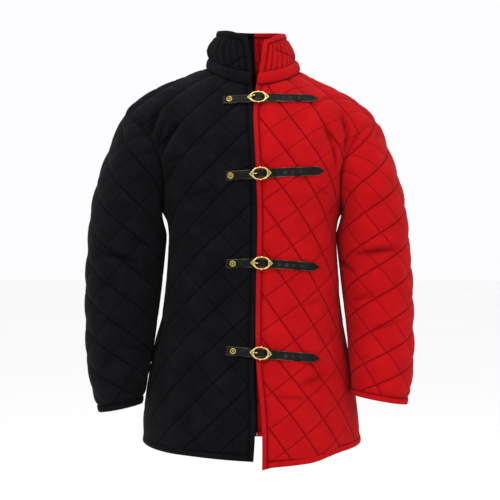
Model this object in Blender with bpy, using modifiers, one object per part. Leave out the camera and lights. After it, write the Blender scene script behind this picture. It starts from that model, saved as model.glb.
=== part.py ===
"""Bicolour quilted arming coat (gambeson), worn and hollow, with four buckled straps.

Metres, +Z up. +X is the wearer's left (red half), -X the right (black half), -Y the front.
The origin lies where the neck meets the shoulder line, which carries the coat on its wearer.

One half of the body cloth is one surface: `across` runs from the middle line (0) to the side
seam or armhole (1), and `up` runs from the front hem (0) over the shoulder seam (1) and down to
the back hem (2). A sleeve is another surface: `round_` runs round it from the underarm seam,
and `down` runs from the armhole (0) to the cuff (1). The pieces are cut from these surfaces and
quilted in flat pattern coordinates, measured along the cloth.
"""

import math

import bmesh
import bpy
import numpy as np
from mathutils import Vector
from mathutils.geometry import delaunay_2d_cdt

# ------------------------------------------------------------------ driving dimensions (metres)

WALL = 0.0035            # cloth and wadding, pressed flat at a stitched line
SEAM_GAP = 0.00017       # each piece stops this far short of its seam line
SWELL = 0.0040           # height of a quilted square over its stitched lines
CROSS_LINE_LIFT = 0.40   # share of the swell that is left on the shallower stitched lines
PILLOW_POWER = 2.6       # 2 would round a square's whole top, more leaves its middle flatter
QUILT_EDGE = 0.012       # the swell grows over this width from a piece's edge
FOLD_EDGE = 0.020        # and the folds over this one
SIDE_PRESSED = 0.85      # share of the swell lost where a sleeve hangs against the body's side

HEM_BAND = 0.0135        # width of the hem bands
EDGE_BAND = 0.0115       # width of the bands down the front edges
CUFF_BAND = 0.0125       # width of the cuff bands
BAND_RISE = 0.0016       # a band's outer face over the stitched level of the cloth

NECK_UP = 0.91           # `up` at which the front edge reaches the neckline
ARMPIT_UP = 0.60         # `up` at which the side seam reaches the armpit
CAP_DOWN = 0.40          # `down` at which the sleeve head passes into the sleeve's first ring
HEAD_REACH = 0.38        # how far the sleeve head holds its way at both ends, as a share
SEAM_BACK = 0.004        # on its way up to the armpit the side seam drifts back by this much

# The wearer's right shoulder stands a little higher and wider than the left one.
SIDES = {"left": 1, "right": -1}
SHOULDER_RISE = {"left": 0.0, "right": 0.012}
SHOULDER_OUT = {"left": 0.0055, "right": 0.012}

# The opening lies a little to the wearer's left: at the chest, more at the hem, less at the neck
OPENING_LEAN = 0.0062
LEAN_AT_HEM = 0.0035
LEAN_AT_NECK = -0.0032
LEAN_REACH = 0.15
SWAY_DEPTH = 0.06        # the front's own straying fades out between y 0 and this far forward

# How far the opening strays from that line as it comes down the front: height z, x
OPENING_SWAY = (
    (-0.720, 0.0000),
    (-0.640, 0.0028),
    (-0.525, -0.0010),
    (-0.400, 0.0005),
    (-0.245, 0.0030),
    (-0.160, -0.0002),
    (-0.060, -0.0042),
    (0.020, 0.0000),
    (0.120, 0.0000),
)

# Front edge, hem to neck: up, gape (half the opening between the halves), depth y, height z
FRONT_EDGE = (
    (0.000, 0.0080, -0.158, -0.703),
    (0.150, 0.0045, -0.146, -0.590),
    (0.300, 0.0008, -0.131, -0.477),
    (0.400, 0.0000, -0.125, -0.402),
    (0.500, 0.0000, -0.127, -0.326),
    (0.600, 0.0000, -0.133, -0.251),
    (0.690, 0.0000, -0.135, -0.183),
    (0.786, 0.0000, -0.127, -0.111),
    (0.856, 0.0005, -0.110, -0.058),
    (NECK_UP, 0.0035, -0.088, -0.017),
)

# Middle of the back, hem to neck: up from the back hem, depth y, height z
BACK_MIDDLE = (
    (0.000, 0.142, -0.690),
    (0.150, 0.125, -0.572),
    (0.300, 0.107, -0.455),
    (0.400, 0.100, -0.376),
    (0.500, 0.104, -0.298),
    (0.600, 0.114, -0.219),
    (0.690, 0.121, -0.149),
    (0.786, 0.113, -0.073),
    (0.856, 0.094, -0.018),
    (NECK_UP, 0.066, 0.024),
)

# Neckline, front middle round to back middle: share of the way, x, y, z
NECKLINE = (
    (0.00, 0.0035, -0.088, -0.017),
    (0.25, 0.0500, -0.068, -0.007),
    (0.50, 0.0800, -0.005, 0.014),
    (0.75, 0.0560, 0.046, 0.022),
    (1.00, 0.0000, 0.066, 0.024),
)

# Top edge of the collar, front middle round to back middle: share of the way, x, y, z
COLLAR_TOP = (
    (0.00, 0.0180, -0.077, 0.067),
    (0.25, 0.0460, -0.052, 0.078),
    (0.50, 0.0585, -0.002, 0.087),
    (0.75, 0.0400, 0.040, 0.094),
    (1.00, 0.0000, 0.056, 0.096),
)

# How far each collar half stands out at its side: more at the top edge, and its bulge midway
COLLAR_SPREAD = {"left": (0.0000, 0.0083), "right": (0.0080, 0.0145)}

# The right collar half is wrapped closer at its front corner: how far in, and how far up
COLLAR_CORNER = {"left": (0.0000, 0.0000), "right": (0.0060, 0.0075)}
CORNER_REACH = (0.10, 0.60)

# Side seam, hem to armpit: up, x, z
SIDE_SEAM = (
    (0.00, 0.2035, -0.681),
    (0.10, 0.1970, -0.609),
    (0.20, 0.1860, -0.537),
    (0.30, 0.1725, -0.466),
    (0.40, 0.1630, -0.394),
    (0.50, 0.1575, -0.322),
    (0.55, 0.1565, -0.286),
    (0.58, 0.1610, -0.265),
    (ARMPIT_UP, 0.1700, -0.250),
)

# Where a side of the body swells toward its sleeve: how far, then the heights z between which it
# rises to that and falls again
SIDE_PUSH = {
    "left": (0.0020, -0.405, -0.375, -0.275, -0.255),
    "right": (0.0050, -0.690, -0.630, -0.495, -0.445),
}
PUSH_REACH = (0.05, 0.15)

# How far a front's hem hangs lower than the table says: along it, and more at its front corner
HEM_DROP = {"left": (0.0095, 0.0045), "right": (-0.0020, 0.0000)}
DROP_REACH = (0.10, 0.17)
CORNER_DROP_REACH = 0.03

# Armhole, armpit up the front to the shoulder tip and down the back: x, y, z
ARMHOLE = (
    ("armpit", 0.170, 0.004, -0.250),
    ("front low", 0.163, -0.048, -0.215),
    ("front middle", 0.166, -0.074, -0.160),
    ("front high", 0.187, -0.068, -0.118),
    ("front top", 0.212, -0.040, -0.090),
    ("shoulder tip", 0.230, 0.004, -0.079),
    ("back top", 0.216, 0.046, -0.089),
    ("back high", 0.194, 0.072, -0.118),
    ("back middle", 0.174, 0.080, -0.160),
    ("back low", 0.165, 0.054, -0.215),
    ("armpit", 0.170, 0.004, -0.250),
)

# What each level of the body cloth bends toward between its two ends:
# up, inner x, inner y, inner z, outer x, outer y, outer z
BODY_PULLS = (
    (0.000, 0.120, -0.160, -0.697, 0.2045, -0.092, -0.686),
    (0.300, 0.100, -0.132, -0.473, 0.1720, -0.078, -0.469),
    (0.500, 0.092, -0.129, -0.325, 0.1560, -0.090, -0.323),
    (0.600, 0.095, -0.136, -0.251, 0.1600, -0.088, -0.252),
    (0.690, 0.090, -0.140, -0.190, 0.1500, -0.105, -0.208),
    (0.786, 0.082, -0.134, -0.120, 0.1380, -0.118, -0.148),
    (0.856, 0.070, -0.118, -0.070, 0.1420, -0.098, -0.098),
    (0.925, 0.078, -0.088, -0.028, 0.1600, -0.066, -0.058),
    (1.000, 0.128, -0.002, -0.004, 0.2000, 0.003, -0.036),
    (1.075, 0.075, 0.062, 0.004, 0.1620, 0.058, -0.048),
    (1.144, 0.075, 0.104, -0.035, 0.1500, 0.098, -0.085),
    (1.214, 0.085, 0.122, -0.082, 0.1450, 0.120, -0.135),
    (1.310, 0.092, 0.127, -0.165, 0.1520, 0.108, -0.205),
    (1.400, 0.095, 0.120, -0.230, 0.1600, 0.082, -0.248),
    (1.500, 0.092, 0.108, -0.305, 0.1570, 0.072, -0.320),
    (1.700, 0.100, 0.110, -0.458, 0.1720, 0.074, -0.466),
    (2.000, 0.120, 0.142, -0.688, 0.2045, 0.088, -0.684),
)

# Way the sleeve leaves the armhole: share of the way round, x, y, z
SLEEVE_START = (
    (0.000, 0.35, 0.00, -0.93),
    (0.120, 0.55, -0.50, -0.67),
    (0.250, 0.70, -0.45, -0.55),
    (0.380, 0.55, -0.30, -0.78),
    (0.500, 0.40, 0.00, -0.92),
    (0.620, 0.55, 0.30, -0.78),
    (0.750, 0.70, 0.45, -0.55),
    (0.880, 0.55, 0.50, -0.67),
    (1.000, 0.35, 0.00, -0.93),
)

# Sleeve rings, sleeve head to cuff edge:
# down, centre x, centre y, centre z, half width, half depth, slope down to the outside
SLEEVE_RINGS = {
    "left": (
        (CAP_DOWN, 0.2267, -0.004, -0.300, 0.0673, 0.080, 0.00),
        (0.580, 0.2353, -0.012, -0.400, 0.0652, 0.073, 0.02),
        (0.720, 0.2391, -0.024, -0.4725, 0.0614, 0.068, 0.08),
        (0.840, 0.2398, -0.040, -0.529, 0.0587, 0.062, 0.13),
        (0.930, 0.2385, -0.054, -0.567, 0.0540, 0.055, 0.16),
        (1.000, 0.2350, -0.065, -0.597, 0.0502, 0.048, 0.18),
    ),
    "right": (
        (CAP_DOWN, 0.2343, -0.003, -0.300, 0.0727, 0.083, 0.00),
        (0.580, 0.2418, -0.007, -0.400, 0.0702, 0.076, 0.02),
        (0.710, 0.2455, -0.012, -0.4725, 0.0650, 0.070, 0.08),
        (0.820, 0.2480, -0.018, -0.529, 0.0590, 0.064, 0.13),
        (0.910, 0.2475, -0.024, -0.575, 0.0498, 0.057, 0.17),
        (1.000, 0.2460, -0.030, -0.6155, 0.0395, 0.051, 0.20),
    ),
}


# ------------------------------------------------------------------ curves and surfaces

def smoothstep(value, low, high):
    """0 below low, 1 above high, and smooth between them."""
    share = np.clip((value - low) / (high - low), 0.0, 1.0)
    return share * share * (3.0 - 2.0 * share)


def unit(vectors):
    """Vectors of the same ways with length 1."""
    return vectors / np.linalg.norm(vectors, axis=-1, keepdims=True)


def columns(table, first=0):
    """The numbers of a table's rows from column `first` on."""
    return np.array([row[first:] for row in table], dtype=float)


def curve_through(knots, values, at):
    """Smooth curve that passes through values at knots, read at `at`."""
    at = np.asarray(at, dtype=float)
    slopes = np.gradient(values, knots, axis=0)
    cell = np.clip(np.searchsorted(knots, at, side="right") - 1, 0, len(knots) - 2)
    span = knots[cell + 1] - knots[cell]
    s = ((at - knots[cell]) / span)[..., None]
    span = span[..., None]
    rise = (1 + 2 * s) * (1 - s) ** 2 * values[cell] + s * s * (3 - 2 * s) * values[cell + 1]
    lean = s * (1 - s) ** 2 * slopes[cell] - s * s * (1 - s) * slopes[cell + 1]
    return rise + span * lean


def read_table(table, at):
    """The columns after the first, as a smooth curve over the first column."""
    numbers = columns(table)
    return curve_through(numbers[:, 0], numbers[:, 1:], at)


def read_round_neck(table, at):
    """A neck table as a smooth curve that runs straight across both middle lines."""
    numbers = columns(table)
    flip = np.array([1.0, -1.0, 1.0, 1.0])
    before = numbers[1] * flip - np.array([2 * numbers[1, 0], 0.0, 0.0, 0.0])
    after = numbers[-2] * flip + np.array([2 * (1.0 - numbers[-2, 0]), 0.0, 0.0, 0.0])
    numbers = np.concatenate([[before], numbers, [after]])
    return curve_through(numbers[:, 0], numbers[:, 1:], at)


def armhole_curve(share):
    """Point of the armhole: 0 at the armpit, 0.5 at the shoulder tip, 1 at the armpit again."""
    points = columns(ARMHOLE, first=1)
    steps = np.linalg.norm(np.diff(points, axis=0), axis=1)
    tip = len(points) // 2
    front = 0.5 * np.cumsum(steps[:tip]) / steps[:tip].sum()
    back = 0.5 + 0.5 * np.cumsum(steps[tip:]) / steps[tip:].sum()
    knots = np.concatenate(([0.0], front, back))
    return curve_through(knots, points, share)


def side_curve(up):
    """Point of the side seam at `up`, measured from the hem."""
    x, z = np.moveaxis(read_table(SIDE_SEAM, up), -1, 0)
    return np.stack([x, SEAM_BACK * smoothstep(up, 0.45, ARMPIT_UP), z], axis=-1)


def inner_curve(up):
    """Middle line of the body cloth: front edge, neckline, then the middle of the back."""
    front = read_table(FRONT_EDGE, np.clip(up, 0.0, NECK_UP))
    front[..., 0] = np.maximum(front[..., 0], 0.0)
    neck = read_round_neck(NECKLINE, np.clip((up - NECK_UP) / (2 - 2 * NECK_UP), 0.0, 1.0))
    back = read_table(BACK_MIDDLE, np.clip(2.0 - up, 0.0, NECK_UP))
    back = np.concatenate([np.zeros_like(back[..., :1]), back], axis=-1)
    on_front = (up < NECK_UP)[..., None]
    on_back = (up > 2.0 - NECK_UP)[..., None]
    return np.where(on_front, front, np.where(on_back, back, neck))


def outer_curve(up):
    """Outer line of the body cloth: side seam, armhole, then the side seam down the back."""
    from_hem = np.minimum(up, 2.0 - up)
    side = side_curve(np.clip(from_hem, 0.0, ARMPIT_UP))
    hole = armhole_curve(np.clip((up - ARMPIT_UP) / (2 - 2 * ARMPIT_UP), 0.0, 1.0))
    return np.where((from_hem < ARMPIT_UP)[..., None], side, hole)


def settle(side, points):
    """Turn a point of the even half coat into its place on one side of the worn coat."""
    x, y, z = np.moveaxis(points, -1, 0)
    high = smoothstep(z, -0.30, -0.08)
    rise = SHOULDER_RISE[side] * high * smoothstep(x, 0.0, 0.17)
    out = SHOULDER_OUT[side] * high * smoothstep(x, 0.12, 0.22)
    middle = OPENING_LEAN + LEAN_AT_HEM * smoothstep(-z, 0.50, 0.70)
    middle = middle + LEAN_AT_NECK * smoothstep(z, -0.02, 0.07)
    low, high = OPENING_SWAY[0][0], OPENING_SWAY[-1][0]
    sway = read_table(OPENING_SWAY, np.clip(z, low, high))[..., 0]
    middle = middle + sway * smoothstep(-y, 0.0, SWAY_DEPTH)
    lean = middle * (1.0 - smoothstep(x, 0.0, LEAN_REACH))
    return np.stack([SIDES[side] * (x + out) + lean, y, z + rise], axis=-1)


def body_surface(side, across, up):
    """Point of the body cloth's stitched level."""
    across, up = np.broadcast_arrays(np.asarray(across, float), np.asarray(up, float))
    pulls = read_table(BODY_PULLS, up)
    a = across[..., None]
    start = (1 - a) ** 3 * inner_curve(up) + 3 * a * (1 - a) ** 2 * pulls[..., :3]
    end = 3 * a * a * (1 - a) * pulls[..., 3:] + a ** 3 * outer_curve(up)
    points = start + end
    out, foot, low, high, head = SIDE_PUSH[side]
    z = points[..., 2].copy()
    out = out * smoothstep(z, foot, low) * (1.0 - smoothstep(z, high, head))
    x = points[..., 0].copy()
    points[..., 0] += out * smoothstep(x, *PUSH_REACH)
    drop, corner = HEM_DROP[side]
    drop = drop * (1.0 - smoothstep(x, *DROP_REACH))
    drop = drop + corner * (1.0 - smoothstep(x, 0.0, CORNER_DROP_REACH))
    points[..., 2] -= np.where(up < 1.0, drop, 0.0) * smoothstep(-z, 0.45, 0.70)
    return settle(side, points)


def sleeve_ring(side, round_, down):
    """Point of the sleeve's ring at `down`, from the sleeve head's first ring to the cuff."""
    ring = read_table(SLEEVE_RINGS[side], down)
    cx, cy, cz, wide, deep, slope = np.moveaxis(ring, -1, 0)
    angle = 2 * math.pi * round_
    x = -wide * np.cos(angle)
    y = -deep * np.sin(angle)
    return np.stack([cx + x, cy + y, cz - slope * x], axis=-1)


def sleeve_surface(side, round_, down):
    """Point of the sleeve's stitched level: a bent head from the armhole, then rings."""
    round_, down = np.broadcast_arrays(np.asarray(round_, float), np.asarray(down, float))
    hole = armhole_curve(round_)
    first = sleeve_ring(side, round_, np.full_like(down, CAP_DOWN))
    below = sleeve_ring(side, round_, np.full_like(down, CAP_DOWN + 0.02))
    heading = below - first
    heading /= np.linalg.norm(heading, axis=-1, keepdims=True)
    start = read_table(SLEEVE_START, round_)
    reach = HEAD_REACH * np.linalg.norm(first - hole, axis=-1, keepdims=True)
    s = np.clip(down / CAP_DOWN, 0.0, 1.0)[..., None]
    head = (1 - s) ** 3 * hole + 3 * s * (1 - s) ** 2 * (hole + reach * start)
    head = head + 3 * s * s * (1 - s) * (first - reach * heading) + s ** 3 * first
    rings = sleeve_ring(side, round_, np.maximum(down, CAP_DOWN))
    return settle(side, np.where((down < CAP_DOWN)[..., None], head, rings))


def collar_surface(side, round_, rise):
    """Point of the collar's stitched level, 0 at the neckline and 1 at the top edge."""
    round_, rise = np.broadcast_arrays(np.asarray(round_, float), np.asarray(rise, float))
    foot = read_round_neck(NECKLINE, round_)
    top = read_round_neck(COLLAR_TOP, round_)
    share = rise[..., None]
    points = foot + share * (top - foot)
    lean, bulge = COLLAR_SPREAD[side]
    spread = lean * rise ** 2 + bulge * np.sin(math.pi * rise) ** 2
    points[..., 0] += spread * smoothstep(points[..., 0], 0.024, 0.060)
    reach, lift = COLLAR_CORNER[side]
    near = 1.0 - smoothstep(round_, *CORNER_REACH)
    points[..., 0] -= reach * near * rise * (2.0 - rise)
    points[..., 2] += lift * near * rise
    return settle(side, points)


# ------------------------------------------------------------------ flat patterns

class Cloth:
    """A surface of (first, second) parameters with its flat pattern coordinates on a grid."""

    def __init__(self, point, first, second, outward):
        self.point = point
        self.first = first
        self.second = second
        self.outward = outward
        self.grid = point(first[:, None], second[None, :])
        self.flat = None

    def normal(self, a, b):
        """Unit normal on the outer side of the cloth."""
        step = 1e-4
        low_a = np.clip(a - step, self.first[0], self.first[-1])
        high_a = np.clip(a + step, self.first[0], self.first[-1])
        low_b = np.clip(b - step, self.second[0], self.second[-1])
        high_b = np.clip(b + step, self.second[0], self.second[-1])
        along_a = self.point(high_a, b) - self.point(low_a, b)
        along_b = self.point(a, high_b) - self.point(a, low_b)
        normal = self.outward * np.cross(along_a, along_b)
        return normal / np.linalg.norm(normal, axis=-1, keepdims=True)

    def read(self, values, a, b):
        """Values of a grid at parameters (a, b), linear in each cell."""
        i, s = grid_place(self.first, a)
        j, t = grid_place(self.second, b)
        s = s[..., None]
        t = t[..., None]
        low = (1 - s) * values[i, j] + s * values[i + 1, j]
        high = (1 - s) * values[i, j + 1] + s * values[i + 1, j + 1]
        return (1 - t) * low + t * high

    def place(self, values, targets):
        """Parameters (a, b) at which a two-column grid of values reaches each target."""
        targets = np.asarray(targets, dtype=float)
        coarse = values[::3, ::3].reshape(-1, 2)
        found = np.empty(len(targets), dtype=int)
        for start in range(0, len(targets), 200):
            block = targets[start:start + 200]
            away = ((block[:, None, :] - coarse[None, :, :]) ** 2).sum(axis=-1)
            found[start:start + 200] = away.argmin(axis=1)
        width = values[::3, ::3].shape[1]
        a = self.first[::3][found // width].copy()
        b = self.second[::3][found % width].copy()
        step_a = (self.first[-1] - self.first[0]) / 400.0
        step_b = (self.second[-1] - self.second[0]) / 400.0
        for _ in range(12):
            here = self.read(values, a, b)
            on_a = np.where(a + step_a > self.first[-1], -step_a, step_a)
            on_b = np.where(b + step_b > self.second[-1], -step_b, step_b)
            by_a = (self.read(values, a + on_a, b) - here) / on_a[:, None]
            by_b = (self.read(values, a, b + on_b) - here) / on_b[:, None]
            miss = targets - here
            det = by_a[:, 0] * by_b[:, 1] - by_a[:, 1] * by_b[:, 0]
            da = (miss[:, 0] * by_b[:, 1] - miss[:, 1] * by_b[:, 0]) / det
            db = (miss[:, 1] * by_a[:, 0] - miss[:, 0] * by_a[:, 1]) / det
            a = np.clip(a + np.clip(da, -0.1, 0.1), self.first[0], self.first[-1])
            b = np.clip(b + np.clip(db, -0.1, 0.1), self.second[0], self.second[-1])
        return a, b


def grid_place(knots, at):
    """Cell number and share of the cell for each parameter on an even grid."""
    place = (np.asarray(at, float) - knots[0]) / (knots[1] - knots[0])
    cell = np.clip(np.floor(place).astype(int), 0, len(knots) - 2)
    return cell, place - cell


def running_length(steps, axis):
    """Sum of the steps so far along an axis, starting at 0."""
    total = np.cumsum(steps, axis=axis)
    pad = [(0, 0)] * steps.ndim
    pad[axis] = (1, 0)
    return np.pad(total, pad)


def body_cloth(side, face):
    """Front or back of one half: pattern x is measured out from the middle, y up from the hem."""
    across = np.linspace(0.0, 1.0, 121)
    up = np.linspace(0.0, 1.0, 181)
    outward = SIDES[side] if face == "front" else -SIDES[side]

    def point(a, b):
        return body_surface(side, a, b if face == "front" else 2.0 - b)

    cloth = Cloth(point, across, up, outward)
    middle = np.diff(cloth.grid[0], axis=0)
    neck = up[:-1] >= NECK_UP
    out = running_length(np.where(neck, np.abs(middle[:, 0]), 0.0), 0)
    climb = running_length(np.linalg.norm(middle[:, 1:], axis=1), 0)
    steps = np.diff(cloth.grid, axis=0)
    level = np.sqrt(np.maximum((steps ** 2).sum(axis=-1) - steps[..., 2] ** 2, 0.0))
    x = out[None, :] + running_length(level, 0)
    y = climb[None, :] + running_length(steps[..., 2], 0)
    cloth.flat = np.stack([x, y], axis=-1)
    return cloth


def sleeve_cloth(side):
    """Sleeve: pattern x is measured both ways from the outer line, y up from the cuff."""
    round_ = np.linspace(0.0, 1.0, 121)
    down = np.linspace(0.0, 1.0, 121)
    cloth = Cloth(lambda a, b: sleeve_surface(side, a, b), round_, down, -SIDES[side])
    girth = np.linalg.norm(np.diff(cloth.grid, axis=0), axis=-1).sum(axis=0)
    x = (round_[:, None] - 0.5) * girth[None, :]
    lengths = running_length(np.linalg.norm(np.diff(cloth.grid, axis=1), axis=-1), 1)
    y = lengths[:, -1:] - lengths
    cloth.flat = np.stack([x, y], axis=-1)
    return cloth


# ------------------------------------------------------------------ quilting

# Stitched lines of each piece in its pattern, the deep set and then the cross set: slope
# (degrees, counted from pattern x toward pattern y), spacing and shift across the lines
QUILTING = {
    "front_left": ((-54.5, 0.0469, 0.0062), (35.0, 0.0486, 0.0028)),
    "front_right": ((-43.5, 0.0487, 0.0065), (48.0, 0.0471, 0.0378)),
    "back_left": ((-52.0, 0.0475, 0.0000), (38.0, 0.0485, 0.0100)),
    "back_right": ((-45.0, 0.0485, 0.0100), (46.0, 0.0475, 0.0000)),
    "sleeve_left": ((34.0, 0.0477, 0.0307), (-45.0, 0.0490, 0.0000)),
    "sleeve_right": ((40.0, 0.0497, 0.0389), (-45.0, 0.0490, 0.0100)),
}


# Largest folds of each piece, in its pattern:
# start x, start y, end x, end y, half width, rise (below 0 it is a trough)
FOLDS = {
    "front_left": (
        (0.128, 0.640, 0.153, 0.570, 0.010, -0.0055),
        (0.161, 0.655, 0.182, 0.600, 0.009, -0.0045),
        (0.078, 0.152, 0.132, 0.168, 0.010, -0.0025),
        (0.150, 0.500, 0.178, 0.430, 0.014, -0.0035),
        (0.196, 0.300, 0.214, 0.190, 0.016, -0.0030),
    ),
    "front_right": (
        (0.138, 0.622, 0.181, 0.559, 0.010, -0.0055),
        (0.177, 0.645, 0.195, 0.590, 0.009, -0.0040),
        (0.084, 0.492, 0.124, 0.485, 0.009, -0.0025),
        (0.158, 0.500, 0.186, 0.430, 0.014, -0.0035),
        (0.205, 0.290, 0.222, 0.180, 0.016, -0.0030),
    ),
    "back_left": (
        (0.130, 0.645, 0.160, 0.572, 0.011, -0.0050),
        (0.070, 0.405, 0.150, 0.425, 0.013, -0.0035),
        (0.090, 0.365, 0.175, 0.350, 0.012, -0.0030),
    ),
    "back_right": (
        (0.140, 0.640, 0.175, 0.565, 0.011, -0.0050),
        (0.060, 0.415, 0.145, 0.400, 0.013, -0.0035),
        (0.100, 0.350, 0.190, 0.368, 0.012, -0.0030),
    ),
    "sleeve_left": (
        (-0.150, 0.262, -0.070, 0.288, 0.010, -0.0055),
        (-0.176, 0.232, -0.110, 0.248, 0.009, -0.0030),
        (-0.165, 0.182, -0.095, 0.203, 0.011, -0.0035),
        (-0.170, 0.120, -0.085, 0.102, 0.012, -0.0025),
        (0.060, 0.330, 0.130, 0.345, 0.013, -0.0025),
    ),
    "sleeve_right": (
        (-0.160, 0.268, -0.075, 0.294, 0.011, -0.0055),
        (-0.150, 0.236, -0.085, 0.226, 0.010, -0.0030),
        (-0.152, 0.143, -0.064, 0.171, 0.011, -0.0035),
        (-0.140, 0.098, -0.080, 0.084, 0.011, -0.0025),
        (0.070, 0.340, 0.140, 0.325, 0.013, -0.0025),
    ),
}


def fold_height(name, flat, from_edge):
    """Height of a piece's folds: each dies away across its width and toward its two ends."""
    total = np.zeros(len(flat))
    for x0, y0, x1, y1, half_width, rise in FOLDS[name]:
        start, run = np.array([x0, y0]), np.array([x1 - x0, y1 - y0])
        share = np.clip((flat - start) @ run / (run @ run), 0.0, 1.0)
        away = np.linalg.norm(flat - start - share[:, None] * run, axis=1) / half_width
        ends = 1.0 - 0.6 * (2.0 * share - 1.0) ** 2
        total += rise * ends * np.exp(-away ** 2)
    return total * smoothstep(from_edge, 0.002, FOLD_EDGE)


def line_places(name, flat):
    """Number of lines crossed so far, for the deep set and for the cross set, at pattern points."""
    places = []
    for slope, spacing, shift in QUILTING[name]:
        angle = math.radians(slope)
        away = -math.sin(angle) * flat[..., 0] + math.cos(angle) * flat[..., 1]
        places.append((away - shift) / spacing)
    return places[0], places[1]


def place_of_lines(name, deep_place, cross_place):
    """Pattern point with these places, the inverse of line_places."""
    rows, aways = [], []
    for (slope, spacing, shift), place in zip(QUILTING[name], (deep_place, cross_place)):
        angle = math.radians(slope)
        rows.append((-math.sin(angle), math.cos(angle)))
        aways.append(place * spacing + shift)
    return np.stack(aways, axis=-1) @ np.linalg.inv(np.array(rows)).T


def pillow(place):
    """Height of a padded stretch between two lines, from 0 on a line to 1 midway."""
    away = np.abs(place - np.round(place)) * 2.0
    return 1.0 - (1.0 - away) ** PILLOW_POWER


def quilt_height(name, flat, from_edge):
    """Height of the quilted cloth over its stitched level."""
    deep, cross = line_places(name, flat)
    lifted = CROSS_LINE_LIFT + (1.0 - CROSS_LINE_LIFT) * pillow(cross)
    return SWELL * pillow(deep) * lifted * smoothstep(from_edge, 0.0, QUILT_EDGE)


# ------------------------------------------------------------------ flat geometry

def inside(points, loop):
    """True for each point that lies inside a closed loop."""
    x, y = points[:, 0, None], points[:, 1, None]
    ax, ay = loop[:, 0], loop[:, 1]
    bx, by = np.roll(ax, -1), np.roll(ay, -1)
    spans = (ay > y) != (by > y)
    rise = np.where(by == ay, 1.0, by - ay)
    crossing = spans & (x < ax + (y - ay) * (bx - ax) / rise)
    return crossing.sum(axis=1) % 2 == 1


def distance_to(points, loop):
    """Distance from each point to a closed loop."""
    start = loop[None, :, :]
    step = (np.roll(loop, -1, axis=0) - loop)[None, :, :]
    reach = points[:, None, :] - start
    share = np.clip((reach * step).sum(-1) / np.maximum((step * step).sum(-1), 1e-12), 0, 1)
    return np.linalg.norm(reach - share[..., None] * step, axis=-1).min(axis=1)


def triangles_inside(points, ring, edges):
    """Triangles between the points, inside the closed ring that its first points make."""
    vectors = [(float(x), float(y)) for x, y in points]
    outline = [list(range(ring))]
    _, _, tris, origin, _, _ = delaunay_2d_cdt(vectors, edges, outline, 1, 1e-6, True)
    if not all(origin):
        raise ValueError("a stitched line crosses the edge of its piece")
    source = np.array([min(found) for found in origin])
    tris = source[np.array(tris)]
    points = np.asarray(points)
    kept = inside(points[tris].mean(axis=1), points[:ring])
    return tris[kept].tolist()


# ------------------------------------------------------------------ objects

def material(name, color, roughness, metallic=0.0):
    """Plain Principled material with one colour (linear RGB)."""
    made = bpy.data.materials.get(name)
    if made is None:
        made = bpy.data.materials.new(name)
        made.use_nodes = True
        shader = made.node_tree.nodes["Principled BSDF"]
        shader.inputs["Base Color"].default_value = (*color, 1.0)
        shader.inputs["Roughness"].default_value = roughness
        shader.inputs["Metallic"].default_value = metallic
        made.diffuse_color = (*color, 1.0)
    return made


def add_object(name, vertices, faces, finish):
    """One closed body from its vertices and faces, turned so that its faces point out."""
    mesh = bpy.data.meshes.new(name)
    mesh.from_pydata([tuple(map(float, v)) for v in vertices], [], faces)
    mesh.validate()
    shape = bmesh.new()
    shape.from_mesh(mesh)
    bmesh.ops.triangulate(shape, faces=shape.faces[:])
    if shape.calc_volume(signed=True) < 0:
        bmesh.ops.reverse_faces(shape, faces=shape.faces[:])
    shape.to_mesh(mesh)
    shape.free()
    mesh.materials.append(finish)
    made = bpy.data.objects.new(name, mesh)
    bpy.data.collections["gambeson"].objects.link(made)
    return made


def edge_shift(points, normals, outward):
    """Step from each point of a closed outline into the piece, SEAM_GAP from both edges there."""
    along = np.roll(points, -1, axis=0) - points
    middle = normals + np.roll(normals, -1, axis=0)
    into = outward * np.cross(middle, along)
    into /= np.linalg.norm(into, axis=1, keepdims=True)
    before = np.roll(into, 1, axis=0)
    spread = 1.0 + (into * before).sum(axis=1, keepdims=True)
    return SEAM_GAP * (into + before) / np.maximum(spread, 0.5)


EDGE_CLEAR = 0.006               # no quilting point comes closer than this to a piece's edge
PILLOW_CLEAR = 0.007             # nor any point on the shoulders of a square
PILLOW_SHOULDER = 0.24           # a square's shoulders lie this far from its middle, in spacings


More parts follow.
